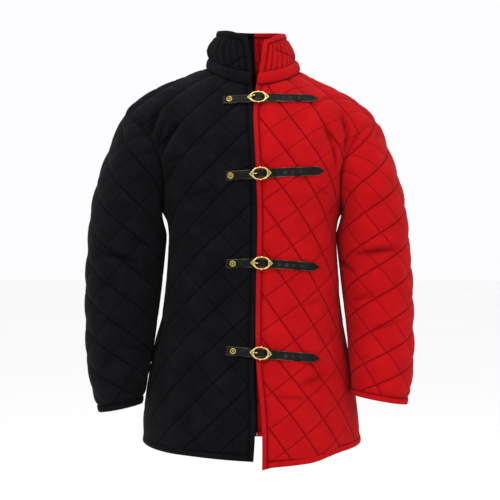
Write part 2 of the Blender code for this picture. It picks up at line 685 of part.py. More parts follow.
def quilted_piece(name, cloth, outline, seam_normals, finish, fine):
    """Closed wall of quilted cloth inside an outline of (a, b) parameters.

    seam_normals gives the seam's own way out at the outline points where the cloth meets
    another piece at an angle, and nan at the rest, where the surface's normal is used.
    """
    ring = len(outline)
    flat_ring = cloth.read(cloth.flat, outline[:, 0], outline[:, 1])
    own = cloth.normal(outline[:, 0], outline[:, 1])
    if not name.startswith("sleeve"):
        face, side = name.split("_")
        up = outline[:, 1] if face == "front" else 2.0 - outline[:, 1]
        own = body_way(side, outline[:, 0], up)
        at_side = (outline[:, 0] == 1.0) & (outline[:, 1] <= ARMPIT_UP)
        own[at_side] = unit(own + body_way(side, outline[:, 0], 2.0 - up))[at_side]
    way = np.where(np.isnan(seam_normals), own, seam_normals)
    on_middle = (outline[:, 0] == 0.0) & name.startswith("back")
    on_middle &= outline[:, 1] <= NECK_UP + 1e-6
    way[on_middle, 0] = 0.0
    way = unit(way)
    rim = cloth.point(outline[:, 0], outline[:, 1])
    area = np.cross(flat_ring, np.roll(flat_ring, -1, axis=0)).sum()
    turn = cloth.outward if area > 0 else -cloth.outward
    if name.startswith("sleeve"):
        turn = -turn
    rim = rim + edge_shift(rim, way, turn)

    deep, cross = line_places(name, flat_ring)
    knots, edges = [], []
    numbers = {}

    def knot(deep_place, cross_place):
        """Number of the pattern point with these places, made when first asked for."""
        key = (round(deep_place, 3), round(cross_place, 3))
        if key not in numbers:
            numbers[key] = len(knots)
            knots.append(key)
        return numbers[key]

    low_d, high_d = int(math.floor(deep.min())), int(math.ceil(deep.max()))
    low_c, high_c = int(math.floor(cross.min())), int(math.ceil(cross.max()))
    grid = np.array([(d / 2, c / 2) for d in range(2 * low_d, 2 * high_d + 1)
                     for c in range(2 * low_c, 2 * high_c + 1)])
    flat_grid = place_of_lines(name, grid[:, 0], grid[:, 1])
    kept = inside(flat_grid, flat_ring) & (distance_to(flat_grid, flat_ring) > EDGE_CLEAR)
    usable = {tuple(place) for place in grid[kept]}
    for d, c in sorted(usable):
        on_deep = d == round(d)
        on_cross = c == round(c)
        if on_deep and on_cross:
            knot(d, c)
        elif on_cross or (on_deep and fine):
            knot(d, c)
        elif not on_deep and not on_cross:
            knot(d, c)
            for turn_d, turn_c in ((-1, -1), (-1, 1), (1, 1), (1, -1)):
                near_d = d + turn_d * PILLOW_SHOULDER
                near_c = c + turn_c * PILLOW_SHOULDER
                spot = place_of_lines(name, np.array([near_d]), np.array([near_c]))
                if inside(spot, flat_ring)[0] and distance_to(spot, flat_ring)[0] > PILLOW_CLEAR:
                    knot(near_d, near_c)
    step = 0.5 if fine else 1.0
    for d, c in sorted(usable):
        if d == round(d) and (fine or c == round(c)) and (d, c + step) in usable:
            edges.append((ring + knot(d, c), ring + knot(d, c + step)))
        if c == round(c) and (d + 0.5, c) in usable:
            edges.append((ring + knot(d, c), ring + knot(d + 0.5, c)))

    places = np.array(knots)
    flat_knots = place_of_lines(name, places[:, 0], places[:, 1])
    flat = np.concatenate([flat_ring, flat_knots])
    outer_faces = triangles_inside(flat, ring, edges)
    a, b = cloth.place(cloth.flat, flat_knots)
    from_edge = distance_to(flat_knots, flat_ring)
    height = quilt_height(name, flat_knots, from_edge)
    height = np.minimum(height, swell_limit(name, cloth.point(a, b)))
    out = cloth.normal(a, b)
    folded = cloth.point(a, b) + fold_height(name, flat_knots, from_edge)[:, None] * out
    knot_points = folded + height[:, None] * out

    half_step = (places * 2 == np.round(places * 2)).all(axis=1)
    on_line = places == np.round(places)
    plain = half_step & (on_line[:, 0] == on_line[:, 1])
    if name.startswith("sleeve"):
        plain |= b < HEAD_FINE_DOWN
    inner_flat = np.concatenate([flat_ring, flat_knots[plain]])
    inner_faces = triangles_inside(inner_flat, ring, [])
    inner_points = folded[plain] - WALL * out[plain]

    vertices = np.concatenate([rim, knot_points, rim - WALL * way, inner_points])
    behind = ring + len(knots)
    faces = list(outer_faces)
    faces += [[behind + v for v in reversed(tri)] for tri in inner_faces]
    sense = 1 if area > 0 else -1
    for k in range(ring):
        after = (k + 1) % ring
        quad = [k, behind + k, behind + after, after]
        faces.append(quad if sense > 0 else quad[::-1])
    return add_object(name, vertices, faces, finish)


def swell_limit(name, points):
    """Room for the quilting's swell, smaller where a sleeve lies close to the body's side."""
    x, z = np.abs(points[..., 0]), points[..., 2]
    if name.startswith("sleeve"):
        close = smoothstep(-x, -0.215, -0.175)
    else:
        close = smoothstep(x, 0.130, 0.160)
    return SWELL * (1.0 - SIDE_PRESSED * close * smoothstep(-z, 0.19, 0.24))


# ------------------------------------------------------------------ seams that pieces share

HEM_UP = HEM_BAND / 0.755        # the hem band's width in `up` (0.755 m of cloth to the unit)
HEAD_FINE_DOWN = 0.22            # the sleeve's inside keeps all its points down to here
CUFF_DOWN = 1.0 - CUFF_BAND / 0.44   # where the sleeve meets its cuff band (0.44 m to the unit)

SIDE_UPS = np.linspace(HEM_UP, ARMPIT_UP, 20)
ARM_UPS = np.linspace(ARMPIT_UP, 1.0, 17)
SHOULDER_ACROSS = np.linspace(0.0, 1.0, 9)
HEM_ACROSS = np.linspace(0.0, 1.0, 13)
RING_ROUND = np.linspace(0.0, 1.0, 25)
UNDERARM_DOWNS = np.linspace(0.0, CUFF_DOWN, 22)
COLLAR_RIBS = 16                 # upright ribs on each collar half, about 12 mm apart
COLLAR_BAND_RISE = 0.86          # `rise` at which the collar meets the band on its top edge
RIB_HEIGHT = 0.0022
COLLAR_SLANT = 0.3               # the collar's front edge leans back by this share as it rises


def armhole_way(side, share):
    """Way out of the coat at the armhole seam: in the armhole's own plane, out from its middle."""
    loop = settle(side, armhole_curve(np.linspace(0.0, 1.0, 81)))
    middle = loop[:-1].mean(axis=0)
    axis = np.cross(loop[:-1] - middle, loop[1:] - middle).sum(axis=0)
    here = settle(side, armhole_curve(share))
    step = 1e-3
    after = settle(side, armhole_curve(np.clip(share + step, 0, 1)))
    before = settle(side, armhole_curve(np.clip(share - step, 0, 1)))
    way = unit(np.cross(after - before, axis))
    at_armpit = ((share < 0.01) | (share > 0.99))[:, None]
    down = np.broadcast_to([0.0, 0.0, -1.0], way.shape)
    sign = np.sign(((here - middle) * way).sum(axis=-1, keepdims=True))
    return np.where(at_armpit, down, way * sign)


def body_way(side, across, up):
    """Way out of the body cloth, the same for a front and a back where they meet."""
    half = Cloth(lambda a, b: body_surface(side, a, b), np.linspace(0, 1, 5),
                 np.linspace(0, 2, 5), SIDES[side])
    return half.normal(across, up)


def collar_cloth(side):
    """Collar half; its pattern isn't used, only its normals."""
    round_ = np.linspace(0.0, 1.0, 41)
    rise = np.linspace(0.0, 1.0, 21)
    return Cloth(lambda a, b: collar_surface(side, a, b), round_, rise, SIDES[side])


def neck_way(side, share):
    """Way out of the coat at the neckline seam, midway between the body's and the collar's."""
    up = NECK_UP + (2 - 2 * NECK_UP) * share
    on_body = body_way(side, np.full_like(up, 0.004), up)
    on_collar = collar_cloth(side).normal(share, np.full_like(share, 0.02))
    return unit(on_body + on_collar)


def across_at(cloth, up, x):
    """`across` at which each level of the body cloth reaches pattern x, held to its own width."""
    found = []
    for level, target in np.broadcast(up, x):
        row = cloth.read(cloth.flat, cloth.first, np.full(len(cloth.first), level))[:, 0]
        found.append(np.interp(target, row, cloth.first))
    return np.array(found)


def neck_up_at(cloth, x):
    """`up` at which the neckline has pattern x."""
    middle = cloth.flat[0, :, 0]
    start = int(np.searchsorted(cloth.second, NECK_UP))
    return np.interp(x, middle[start:], cloth.second[start:])


# ------------------------------------------------------------------ cloth pieces

def body_piece(side, face, finish, neck_shares):
    """Quilted front or back, from the hem band up to the shoulder, armhole and neckline."""
    cloth = body_cloth(side, face)
    name = face + "_" + side
    if face == "front":
        neck_end = neck_up_at(cloth, EDGE_BAND)
        inner_ups = np.linspace(HEM_UP, neck_end, 28)
        inner_across = across_at(cloth, inner_ups, EDGE_BAND)
        inner_across[-1] = 0.0
        neck = NECK_UP + (2 - 2 * NECK_UP) * neck_shares[neck_shares < 0.49]
        neck = neck[neck > neck_end + 0.004]
    else:
        inner_ups = np.linspace(HEM_UP, NECK_UP, 28)
        inner_across = np.zeros_like(inner_ups)
        neck = NECK_UP + (2 - 2 * NECK_UP) * (1.0 - neck_shares[neck_shares > 0.51])
        neck = np.sort(neck[neck > NECK_UP + 0.001])
    hem = inner_across[0] + (1.0 - inner_across[0]) * HEM_ACROSS
    outline = [(a, HEM_UP) for a in hem[:-1]]
    outline += [(1.0, u) for u in SIDE_UPS[:-1]]
    arm_first = len(outline)
    outline += [(1.0, u) for u in ARM_UPS]
    arm_last = len(outline) - 1
    outline += [(a, 1.0) for a in SHOULDER_ACROSS[-2:0:-1]]
    neck_first = len(outline)
    outline += [(0.0, 1.0)]
    outline += [(0.0, u) for u in neck[::-1]]
    outline += [(0.0, inner_ups[-1])]
    neck_last = len(outline) - 1
    outline += [(a, u) for a, u in zip(inner_across[-2:0:-1], inner_ups[-2:0:-1])]
    outline = np.array(outline)
    ways = np.full((len(outline), 3), np.nan)
    share = 0.5 * (outline[arm_first:arm_last + 1, 1] - ARMPIT_UP) / (1 - ARMPIT_UP)
    if face == "back":
        share = 1.0 - share
    ways[arm_first:arm_last + 1] = armhole_way(side, share)
    share = (outline[neck_first:neck_last + 1, 1] - NECK_UP) / (2 - 2 * NECK_UP)
    if face == "back":
        share = 1.0 - share
    ways[neck_first:neck_last + 1] = neck_way(side, share)
    quilted_piece(name, cloth, outline, ways, finish, fine=False)
    return cloth, inner_ups


def sleeve_piece(side, finish):
    """Quilted sleeve, open along its underarm seam, from the armhole to the cuff band."""
    cloth = sleeve_cloth(side)
    arm_shares = np.concatenate([0.5 * (ARM_UPS - ARMPIT_UP) / (1 - ARMPIT_UP),
                                 1.0 - 0.5 * (ARM_UPS[-2::-1] - ARMPIT_UP) / (1 - ARMPIT_UP)])
    outline = [(a, CUFF_DOWN) for a in RING_ROUND[:-1]]
    outline += [(1.0, d) for d in UNDERARM_DOWNS[:0:-1]]
    first = len(outline)
    outline += [(a, 0.0) for a in arm_shares[::-1]]
    last = len(outline) - 1
    outline += [(0.0, d) for d in UNDERARM_DOWNS[1:-1]]
    outline = np.array(outline)
    ways = np.full((len(outline), 3), np.nan)
    ways[first:last + 1] = armhole_way(side, outline[first:last + 1, 0])
    quilted_piece("sleeve_" + side, cloth, outline, ways, finish, fine=True)
    return cloth


# Cut across a band: share of its width from the seam to the free edge, height over the cloth
BAND_CUT = (
    (0.00, 0.0006),
    (0.25, BAND_RISE),
    (0.80, BAND_RISE),
    (1.00, -0.0008),
    (1.00, 0.0006 - WALL),
    (0.00, -WALL),
)


def strip(name, stations, finish, closed=False):
    """Closed body through a row of cuts, each an equal ring of points."""
    count, around = len(stations), len(stations[0])
    faces = []
    for k in range(count if closed else count - 1):
        after = (k + 1) % count
        for j in range(around):
            beside = (j + 1) % around
            faces.append([k * around + j, after * around + j,
                          after * around + beside, k * around + beside])
    if not closed:
        faces.append(list(range(around)))
        faces.append([(count - 1) * around + j for j in reversed(range(around))])
    return add_object(name, np.concatenate(stations), faces, finish)


def band(name, cloth, seam_line, free_line, finish, closed=False):
    """Band between two lines of (a, b) parameters, the second one its free edge."""
    stations = []
    for seam, free in zip(seam_line, free_line):
        share = np.array([cut[0] for cut in BAND_CUT])
        height = np.array([cut[1] for cut in BAND_CUT])
        spot = seam + share[:, None] * (free - seam)
        point = cloth.point(spot[:, 0], spot[:, 1])
        stations.append(point + height[:, None] * cloth.normal(spot[:, 0], spot[:, 1]))
    return strip(name, stations, finish, closed)


def front_edge_piece(side, cloth, inner_ups, finish):
    """Band down a front edge, hem to neckline."""
    ups = np.concatenate([[0.0], inner_ups[:-1]])
    seam = np.stack([across_at(cloth, ups, EDGE_BAND - SEAM_GAP), ups], axis=-1)
    free = np.stack([across_at(cloth, ups, SEAM_GAP), ups], axis=-1)
    top = neck_up_at(cloth, np.array([EDGE_BAND - SEAM_GAP, SEAM_GAP])) - 0.0020
    seam = np.concatenate([seam, [[0.0015, top[0]]]])
    free = np.concatenate([free, [[across_at(cloth, top[1:], SEAM_GAP)[0], top[1]]]])
    band("front_edge_" + side, cloth, seam, free, finish)


def hem_piece(side, face, cloth, finish):
    """Hem band of a front or a back, from the middle to the side seam."""
    start = EDGE_BAND if face == "front" else 0.0
    lines = []
    for up in (HEM_UP - 0.0003, 0.0):
        first = across_at(cloth, up, start + SEAM_GAP)[0]
        last = 1.0 - 0.0007
        seam_start = across_at(cloth, HEM_UP, start)[0]
        across = seam_start + (1.0 - seam_start) * HEM_ACROSS
        across[0] = first
        across[-1] = last
        lines.append(np.stack([across, np.full_like(across, up)], axis=-1))
    band("hem_" + face + "_" + side, cloth, lines[0], lines[1], finish)


def cuff_piece(side, cloth, finish):
    """Cuff band, a closed ring."""
    seam = np.stack([RING_ROUND[:-1], np.full(24, CUFF_DOWN + 0.0007)], axis=-1)
    free = np.stack([RING_ROUND[:-1], np.full(24, 1.0)], axis=-1)
    band("cuff_" + side, cloth, seam, free, finish, closed=True)


def collar_front(cloth):
    """Share of the neckline that the front edge band takes."""
    return (neck_up_at(cloth, EDGE_BAND) - NECK_UP) / (2 - 2 * NECK_UP)


def collar_piece(side, front_share, finish):
    """Collar half: a wall with upright ribs above the roll at its foot."""
    cloth = collar_cloth(side)
    levels = (0.0, 0.12, 0.25, 0.34, 0.60, 0.80, COLLAR_BAND_RISE)
    ribbed = (0.0, 0.0, 0.0, 1.0, 1.0, 1.0, 0.0)
    plain = (0, 3, 4, 6)
    wide = 2 * COLLAR_RIBS + 1
    share = np.linspace(0.0, 1.0, wide)
    crest = RIB_HEIGHT * (np.arange(wide) % 2)
    outer, inner = [], []
    for rise, rib in zip(levels, ribbed):
        start = front_share * (1.0 + COLLAR_SLANT * rise)
        round_ = start + (1.0 - start) * share
        round_[0] += 0.002
        round_[-1] -= 0.001
        level = np.full_like(round_, rise + (0.002 if rise == 0.0 else 0.0))
        if rise == COLLAR_BAND_RISE:
            level -= 0.006
        point = cloth.point(round_, level)
        way = cloth.normal(round_, level)
        if rise == 0.0:
            way = neck_way(side, round_)
        way[-1, 0] = 0.0
        way = unit(way)
        outer.append(point + (rib * crest)[:, None] * way)
        inner.append(point - WALL * way)
    inner = [inner[row] for row in plain]
    vertices = np.concatenate(outer + inner)
    rows, back = len(levels), len(plain)
    face_starts = (0, rows * wide)
    faces = []
    for start, count in zip(face_starts, (rows, back)):
        for r in range(count - 1):
            for c in range(wide - 1):
                k = start + r * wide + c
                quad = [k, k + 1, k + wide + 1, k + wide]
                faces.append(quad if start == 0 else quad[::-1])
    foot_back, top_back = face_starts[1], face_starts[1] + (back - 1) * wide
    top = (rows - 1) * wide
    for c in range(wide - 1):
        faces.append([foot_back + c, foot_back + c + 1, c + 1, c])
        faces.append([top + c, top + c + 1, top_back + c + 1, top_back + c])
    for c, flip in ((0, False), (wide - 1, True)):
        up_front = [r * wide + c for r in range(rows)]
        down_back = [face_starts[1] + r * wide + c for r in reversed(range(back))]
        faces.append((up_front + down_back)[::-1] if flip else up_front + down_back)
    add_object("collar_" + side, vertices, faces, finish)
    return cloth


def collar_band_piece(side, cloth, front_share, finish):
    """Binding up the collar's front edge and along its top edge to the middle of the back."""
    def front(rise):
        return front_share * (1.0 + COLLAR_SLANT * rise)

    corner = COLLAR_BAND_RISE
    seam = [(front(r), r) for r in (0.03, 0.34, 0.60, 0.80)]
    free = [(0.004, r) for r in (0.03, 0.36, 0.66, 0.88)]
    seam.append((front(corner), corner))
    free.append((0.012, 0.990))
    for share in np.linspace(0.10, 0.998, 14):
        seam.append((share, corner))
        free.append((share - 0.02 * (1.0 - share), 1.0))
    band("collar_band_" + side, cloth, np.array(seam), np.array(free), finish)


# Cut across the collar's padded roll: height up the collar and distance out from it
ROLL_CUT = (
    (0.0015, 0.0008),
    (0.0020, 0.0055),
    (0.0075, 0.0095),
    (0.0140, 0.0085),
    (0.0180, 0.0045),
    (0.0185, 0.0008),
)


def roll_piece(side, cloth, front_share, finish):
    """Padded roll round the outside of the collar's foot."""
    stations = []
    for share in np.linspace(front_share + 0.004, 0.997, 19):
        foot = cloth.point(np.array([share]), np.array([0.0]))[0]
        top = cloth.point(np.array([share]), np.array([1.0]))[0]
        tall = np.linalg.norm(top - foot)
        rise = np.array([cut[0] / tall for cut in ROLL_CUT])
        round_ = np.full_like(rise, share)
        out = np.array([cut[1] for cut in ROLL_CUT])
        stations.append(cloth.point(round_, rise) + out[:, None] * cloth.normal(round_, rise))
    strip("collar_roll_" + side, stations, finish)


# ------------------------------------------------------------------ straps and buckles

STRAP_WIDTH = 0.016
STRAP_THICK = 0.0018
STRAP_POINT = 0.011              # length of the pointed tail
STRAP_PINCH = 0.0015            # each edge of a strap is drawn in this far inside its buckle
CHAPE_WIDTH = 0.012
CHAPE_THICK = 0.0012
CHAPE_LENGTH = 0.034
LAY = SWELL + 0.0006             # what lies on the cloth starts this far over its stitched level
AIR = 0.0003                     # clearance between pieces that rest on each other
FRAME_THICK = 0.0020
FRAME_HALF_LENGTH = 0.0204
FRAME_HALF_HEIGHT = 0.0114
WINDOW_HALF_LENGTH = 0.0117
WINDOW_HALF_HEIGHT = 0.0088
WINDOW_SQUARENESS = 3.0         # 2 would make the buckle's window a plain ellipse
WINDOW_STEPS = 13
BAR_HALF_WIDTH = 0.0015
KNOB_RADIUS = 0.0018
FRAME_LIFT = CHAPE_THICK + STRAP_THICK + 4 * AIR          # frame's underside over the lay
BAR_CLEAR = FRAME_THICK + CHAPE_THICK + 4 * AIR           # strap's underside over the frame's
PRONG_RADIUS = 0.0011
RIVET_RADIUS = 0.0057
LAY_STEP = 0.002                 # spacing of the points that a strap's line is read through
LAY_SMOOTHINGS = 6

# Each strap: height and x of its riveted end, of the buckle's bar and of the tail's tip, rivet x
STRAPS = (
    ("1", -0.0528, -0.0503, 0.0110, -0.0470, 0.1199, -0.0447, -0.0406),
    ("2", -0.0481, -0.1880, 0.0149, -0.1837, 0.1291, -0.1765, -0.0384),
    ("3", -0.0471, -0.3460, 0.0170, -0.3442, 0.1205, -0.3528, -0.0341),
    ("4", -0.0470, -0.5035, 0.0151, -0.5084, 0.1210, -0.5195, -0.0335),
)


def on_front(cloths, x, z):
    """Points of the fronts' stitched level at these x and z, with the way out there."""
    points = np.zeros((len(x), 3))
    ways = np.zeros((len(x), 3))
    edges = [np.interp(z, cloth.grid[0, :, 2], cloth.grid[0, :, 0]) for cloth in cloths.values()]
    middle = sum(edges) / len(edges)
    for side, cloth in cloths.items():
        mine = x > middle if side == "left" else x <= middle
        if mine.any():
            targets = np.stack([x[mine], z[mine]], axis=-1)
            a, b = cloth.place(cloth.grid[..., [0, 2]], targets)
            points[mine] = cloth.point(a, b)
            points[mine, 0] = x[mine]
            ways[mine] = cloth.normal(a, b)
    return points, ways


def strap_lay(cloths, row):
    """The line a strap lies along: close x values, smoothed points there and the way out."""
    x = np.arange(row[1] - 0.006, row[5] + 0.004, LAY_STEP)
    points, ways = on_front(cloths, x, strap_line(row, x))
    for _ in range(LAY_SMOOTHINGS):
        points[1:-1] = (points[:-2] + 2 * points[1:-1] + points[2:]) / 4
        ways[1:-1] = (ways[:-2] + 2 * ways[1:-1] + ways[2:]) / 4
    return x, points, unit(ways)


def on_lay(lay, x):
    """Points of a strap's line at these x, with the way out there."""
    fine, points, ways = lay
    x = np.asarray(x, dtype=float)
    center = np.stack([np.interp(x, fine, points[:, k]) for k in range(3)], axis=-1)
    way = np.stack([np.interp(x, fine, ways[:, k]) for k in range(3)], axis=-1)
    return center, unit(way)


def strap_line(row, x):
    """Height z of a strap's middle at x: straight to the bar, then straight to the tip."""
    _, end_x, end_z, bar_x, bar_z, tip_x, tip_z, _ = row
    return np.interp(x, [end_x, bar_x, tip_x], [end_z, bar_z, tip_z])


def strap_height(away):
    """Underside of a strap over its lay, at a distance along x from the buckle's bar."""
    high = FRAME_LIFT + BAR_CLEAR
    over = smoothstep(-np.abs(away), -0.0098, -0.0030)
    on_chape = (CHAPE_THICK + AIR) * smoothstep(-away, -0.042, -0.036) * smoothstep(away, 0.0, 0.004)
    return on_chape + (high - on_chape) * over


def strap_piece(lay, row, finish):
    """Leather strap with a pointed tail, woven under, over and under the buckle."""
    name, end_x, _, bar_x, _, tip_x, _, _ = row
    rise = np.array([0.0030, 0.0050, 0.0064, 0.0080, 0.0090, 0.0100, 0.0130, 0.0185])
    near = bar_x + np.concatenate([-rise[::-1], [0.0], rise])
    left = np.linspace(end_x, near[0] - 0.006, 5)
    right = np.linspace(near[-1] + 0.006, tip_x - STRAP_POINT, 9)
    x = np.concatenate([left, near, right, [tip_x - 0.004, tip_x]])
    half = STRAP_WIDTH / 2 - STRAP_PINCH * smoothstep(-np.abs(x - bar_x), -0.0185, -0.0130)
    half[-2:] = (0.0042, 0.0012)
    center, way = on_lay(lay, x)
    along = unit(np.gradient(center, axis=0))
    side_way = unit(np.cross(way, along))
    stations = []
    for k in range(len(x)):
        low = LAY + strap_height(x[k] - bar_x)
        corners = []
        for edge, height in ((-1, low), (1, low), (1, low + STRAP_THICK), (-1, low + STRAP_THICK)):
            corners.append(center[k] + edge * half[k] * side_way[k] + height * way[k])
        stations.append(np.array(corners))
    strip("strap_" + name, stations, finish)


def buckle_place(lay, row):
    """Frame of axes at a buckle: the stitched level under its bar, along, up and out."""
    center, way = on_lay(lay, row[3] + np.array([-0.012, 0.0, 0.012]))
    along = unit(center[2] - center[0])
    out = unit(way[1] - along * (way[1] @ along))
    return center[1], along, np.cross(out, along), out


def to_world(place, flat_points, height):
    """Points of a flat shape laid at a height in a buckle's frame of axes."""
    base, along, across, out = place
    return [base + x * along + y * across + (height + h) * out for x, y, h in flat_points]


# A quarter of a buckle's outline from its tip: straight flanks, then a flat arch (shares)
FRAME_QUARTER = (
    (1.00, 0.00),
    (0.75, 0.44),
    (0.50, 0.86),
    (0.25, 0.98),
)


def frame_outline():
    """Outline of a buckle's frame, from its right tip over the top; x is 0 at both knobs."""
    right = [(x * FRAME_HALF_LENGTH, y * FRAME_HALF_HEIGHT) for x, y in FRAME_QUARTER]
    left = [(-x, y) for x, y in right[:0:-1]]
    top = right + [(0.0, FRAME_HALF_HEIGHT)] + left
    return top + [(-x, -y) for x, y in top]


def buckle_frame(place, name, finish):
    """Frame pointed at both ends, with a centre bar whose ends stand out as knobs."""
    outline = []
    for x, y in frame_outline():
        if x == 0.0:
            up = math.copysign(1.0, y)
            for angle in (0.0, 60.0, 120.0, 180.0):
                turn = math.radians(angle)
                outline.append((up * KNOB_RADIUS * math.cos(turn),
                                up * (FRAME_HALF_HEIGHT - 0.0004 + KNOB_RADIUS * math.sin(turn))))
        else:
            outline.append((x, y))
    power = 2.0 / WINDOW_SQUARENESS
    edge = math.acos((BAR_HALF_WIDTH / WINDOW_HALF_LENGTH) ** (1.0 / power))
    hole = []
    for angle in np.linspace(edge, -edge, WINDOW_STEPS):
        tall = math.copysign(WINDOW_HALF_HEIGHT, angle) * abs(math.sin(angle)) ** power
        hole.append((WINDOW_HALF_LENGTH * math.cos(angle) ** power, tall))
    holes = [hole, [(-x, y) for x, y in hole]]
    rings = [outline] + holes
    points = [p for ring in rings for p in ring]
    edges = []
    start = 0
    for ring in rings:
        numbers = list(range(start, start + len(ring)))
        edges += [(numbers[k], numbers[(k + 1) % len(ring)]) for k in range(len(ring))]
        start += len(ring)
    flat = np.array(points)
    tris = np.array(triangles_inside(flat, len(outline), edges))
    for hole_ring in holes:
        tris = tris[~inside(flat[tris].mean(axis=1), np.array(hole_ring))]
    tris = tris.tolist()
    count = len(points)
    low = to_world(place, [(x, y, 0.0) for x, y in points], LAY + FRAME_LIFT)
    high = to_world(place, [(x, y, FRAME_THICK) for x, y in points], LAY + FRAME_LIFT)
    faces = [[v + count for v in t] for t in tris] + [t[::-1] for t in tris]
    ring_start = 0
    for ring in rings:
        for k in range(len(ring)):
            a = ring_start + k
            b = ring_start + (k + 1) % len(ring)
            faces.append([a, b, b + count, a + count])
        ring_start += len(ring)
    made = bpy.data.meshes.new("buckle_" + name)
    made.from_pydata([tuple(map(float, v)) for v in low + high], [], faces)
    shape = bmesh.new()
    shape.from_mesh(made)
    bmesh.ops.recalc_face_normals(shape, faces=shape.faces[:])
    bmesh.ops.triangulate(shape, faces=shape.faces[:])
    shape.to_mesh(made)
    shape.free()
    made.materials.append(finish)
    frame = bpy.data.objects.new("buckle_" + name, made)
    bpy.data.collections["gambeson"].objects.link(frame)


def chape_piece(lay, place, row, finish):
    """Short leather chape: a flat tongue sewn to the front, hooked round the buckle's bar."""
    bar_middle = FRAME_LIFT + FRAME_THICK / 2
    wide = BAR_HALF_WIDTH + AIR + CHAPE_THICK / 2
    tall = FRAME_THICK / 2 + AIR + CHAPE_THICK / 2
    path = [(reach, CHAPE_THICK / 2) for reach in (CHAPE_LENGTH, 0.026, 0.018, 0.011, 0.0065)]
    for angle in (285, 250, 215, 180, 145, 112, 85, 62):
        turn = math.radians(angle)
        path.append((1.3 * wide * math.cos(turn), bar_middle + 1.15 * tall * math.sin(turn)))
    path = np.array(path)
    along = unit(np.gradient(path, axis=0))
    across = np.stack([-along[:, 1], along[:, 0]], axis=-1)
    wide_way = place[2]
    stations = []
    for spot, turn in zip(path, across):
        corners = []
        for edge, thick in ((-1, -0.5), (1, -0.5), (1, 0.5), (-1, 0.5)):
            reach, height = spot + thick * CHAPE_THICK * turn
            center, way = on_lay(lay, row[3] + reach)
            corners.append(center + (LAY + height) * way + edge * CHAPE_WIDTH / 2 * wide_way)
        stations.append(np.array(corners))
    strip("chape_" + row[0], stations, finish)


def prong_piece(place, name, finish):
    """Prong: from the strap's hole down to the frame's left end, on which its tip rests."""
    over_strap = FRAME_LIFT + BAR_CLEAR + STRAP_THICK + AIR + PRONG_RADIUS
    on_frame = FRAME_LIFT + FRAME_THICK + AIR + PRONG_RADIUS
    path = [(-0.0040, over_strap), (-0.0065, over_strap),
            (-0.0100, 0.5 * (over_strap + on_frame) + 0.0003), (-0.0155, on_frame)]
    radii = (PRONG_RADIUS, PRONG_RADIUS, 0.9 * PRONG_RADIUS, 0.6 * PRONG_RADIUS)
    base, along, across, out = place
    stations = []
    for (x, height), radius in zip(path, radii):
        middle = to_world(place, [(x, 0.0, height)], LAY)[0]
        ring = [middle + radius * (math.cos(a) * across + math.sin(a) * out)
                for a in np.linspace(0, 2 * math.pi, 9)[:-1]]
        stations.append(np.array(ring))
    strip("prong_" + name, stations, finish)


def rivet_piece(lay, row, finish):
    """Domed rivet head on the strap's end."""
    name = row[0]
    center, way = on_lay(lay, row[-1] + np.array([-0.005, 0.0, 0.005]))
    out = unit(way.sum(axis=0))
    low = LAY + STRAP_THICK + AIR
    profile = ((0.0, 0.0), (RIVET_RADIUS, 0.0), (RIVET_RADIUS * 0.97, 0.0009),
               (RIVET_RADIUS * 0.68, 0.0021), (0.0, 0.0027))
    mesh = bpy.data.meshes.new("rivet_" + name)
    mesh.from_pydata([(r, 0.0, h) for r, h in profile], [(k, k + 1) for k in range(4)], [])
    mesh.materials.append(finish)
    made = bpy.data.objects.new("rivet_" + name, mesh)
    made.location = center[1] + low * out
    made.rotation_mode = "QUATERNION"
    made.rotation_quaternion = Vector(out).to_track_quat("Z", "Y")
    turn = made.modifiers.new("turn", "SCREW")
    turn.steps = 16
    turn.render_steps = 16
    turn.use_merge_vertices = True
    turn.merge_threshold = 0.0001
    turn.use_normal_flip = True
    bpy.data.collections["gambeson"].objects.link(made)


# ------------------------------------------------------------------ the coat

def build():
    for old in list(bpy.data.objects):
        bpy.data.objects.remove(old, do_unlink=True)
    coat = bpy.data.collections.new("gambeson")
    bpy.context.scene.collection.children.link(coat)

    cloth_finish = {
        "left": material("red_canvas", (0.55, 0.008, 0.011), 0.9),
        "right": material("black_canvas", (0.011, 0.010, 0.013), 0.9),
    }
    leather = material("black_leather", (0.012, 0.011, 0.010), 0.45)
    brass = material("antique_brass", (0.45, 0.30, 0.11), 0.35, 1.0)

    fronts = {}
    for side in SIDES:
        finish = cloth_finish[side]
        cloth = body_cloth(side, "front")
        share = collar_front(cloth)
        ribs = share + (1.0 - share) * np.linspace(0.0, 1.0, 2 * COLLAR_RIBS + 1)
        cloth, inner_ups = body_piece(side, "front", finish, ribs)
        fronts[side] = cloth
        front_edge_piece(side, cloth, inner_ups, finish)
        hem_piece(side, "front", cloth, finish)
        back, _ = body_piece(side, "back", finish, ribs)
        hem_piece(side, "back", back, finish)
        sleeve = sleeve_piece(side, finish)
        cuff_piece(side, sleeve, finish)
        collar = collar_piece(side, share, finish)
        collar_band_piece(side, collar, share, finish)
        roll_piece(side, collar, share, finish)

    for row in STRAPS:
        lay = strap_lay(fronts, row)
        place = buckle_place(lay, row)
        strap_piece(lay, row, leather)
        chape_piece(lay, place, row, leather)
        buckle_frame(place, row[0], brass)
        prong_piece(place, row[0], brass)
        rivet_piece(lay, row, brass)


if __name__ == "__main__":
    build()
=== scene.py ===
import math

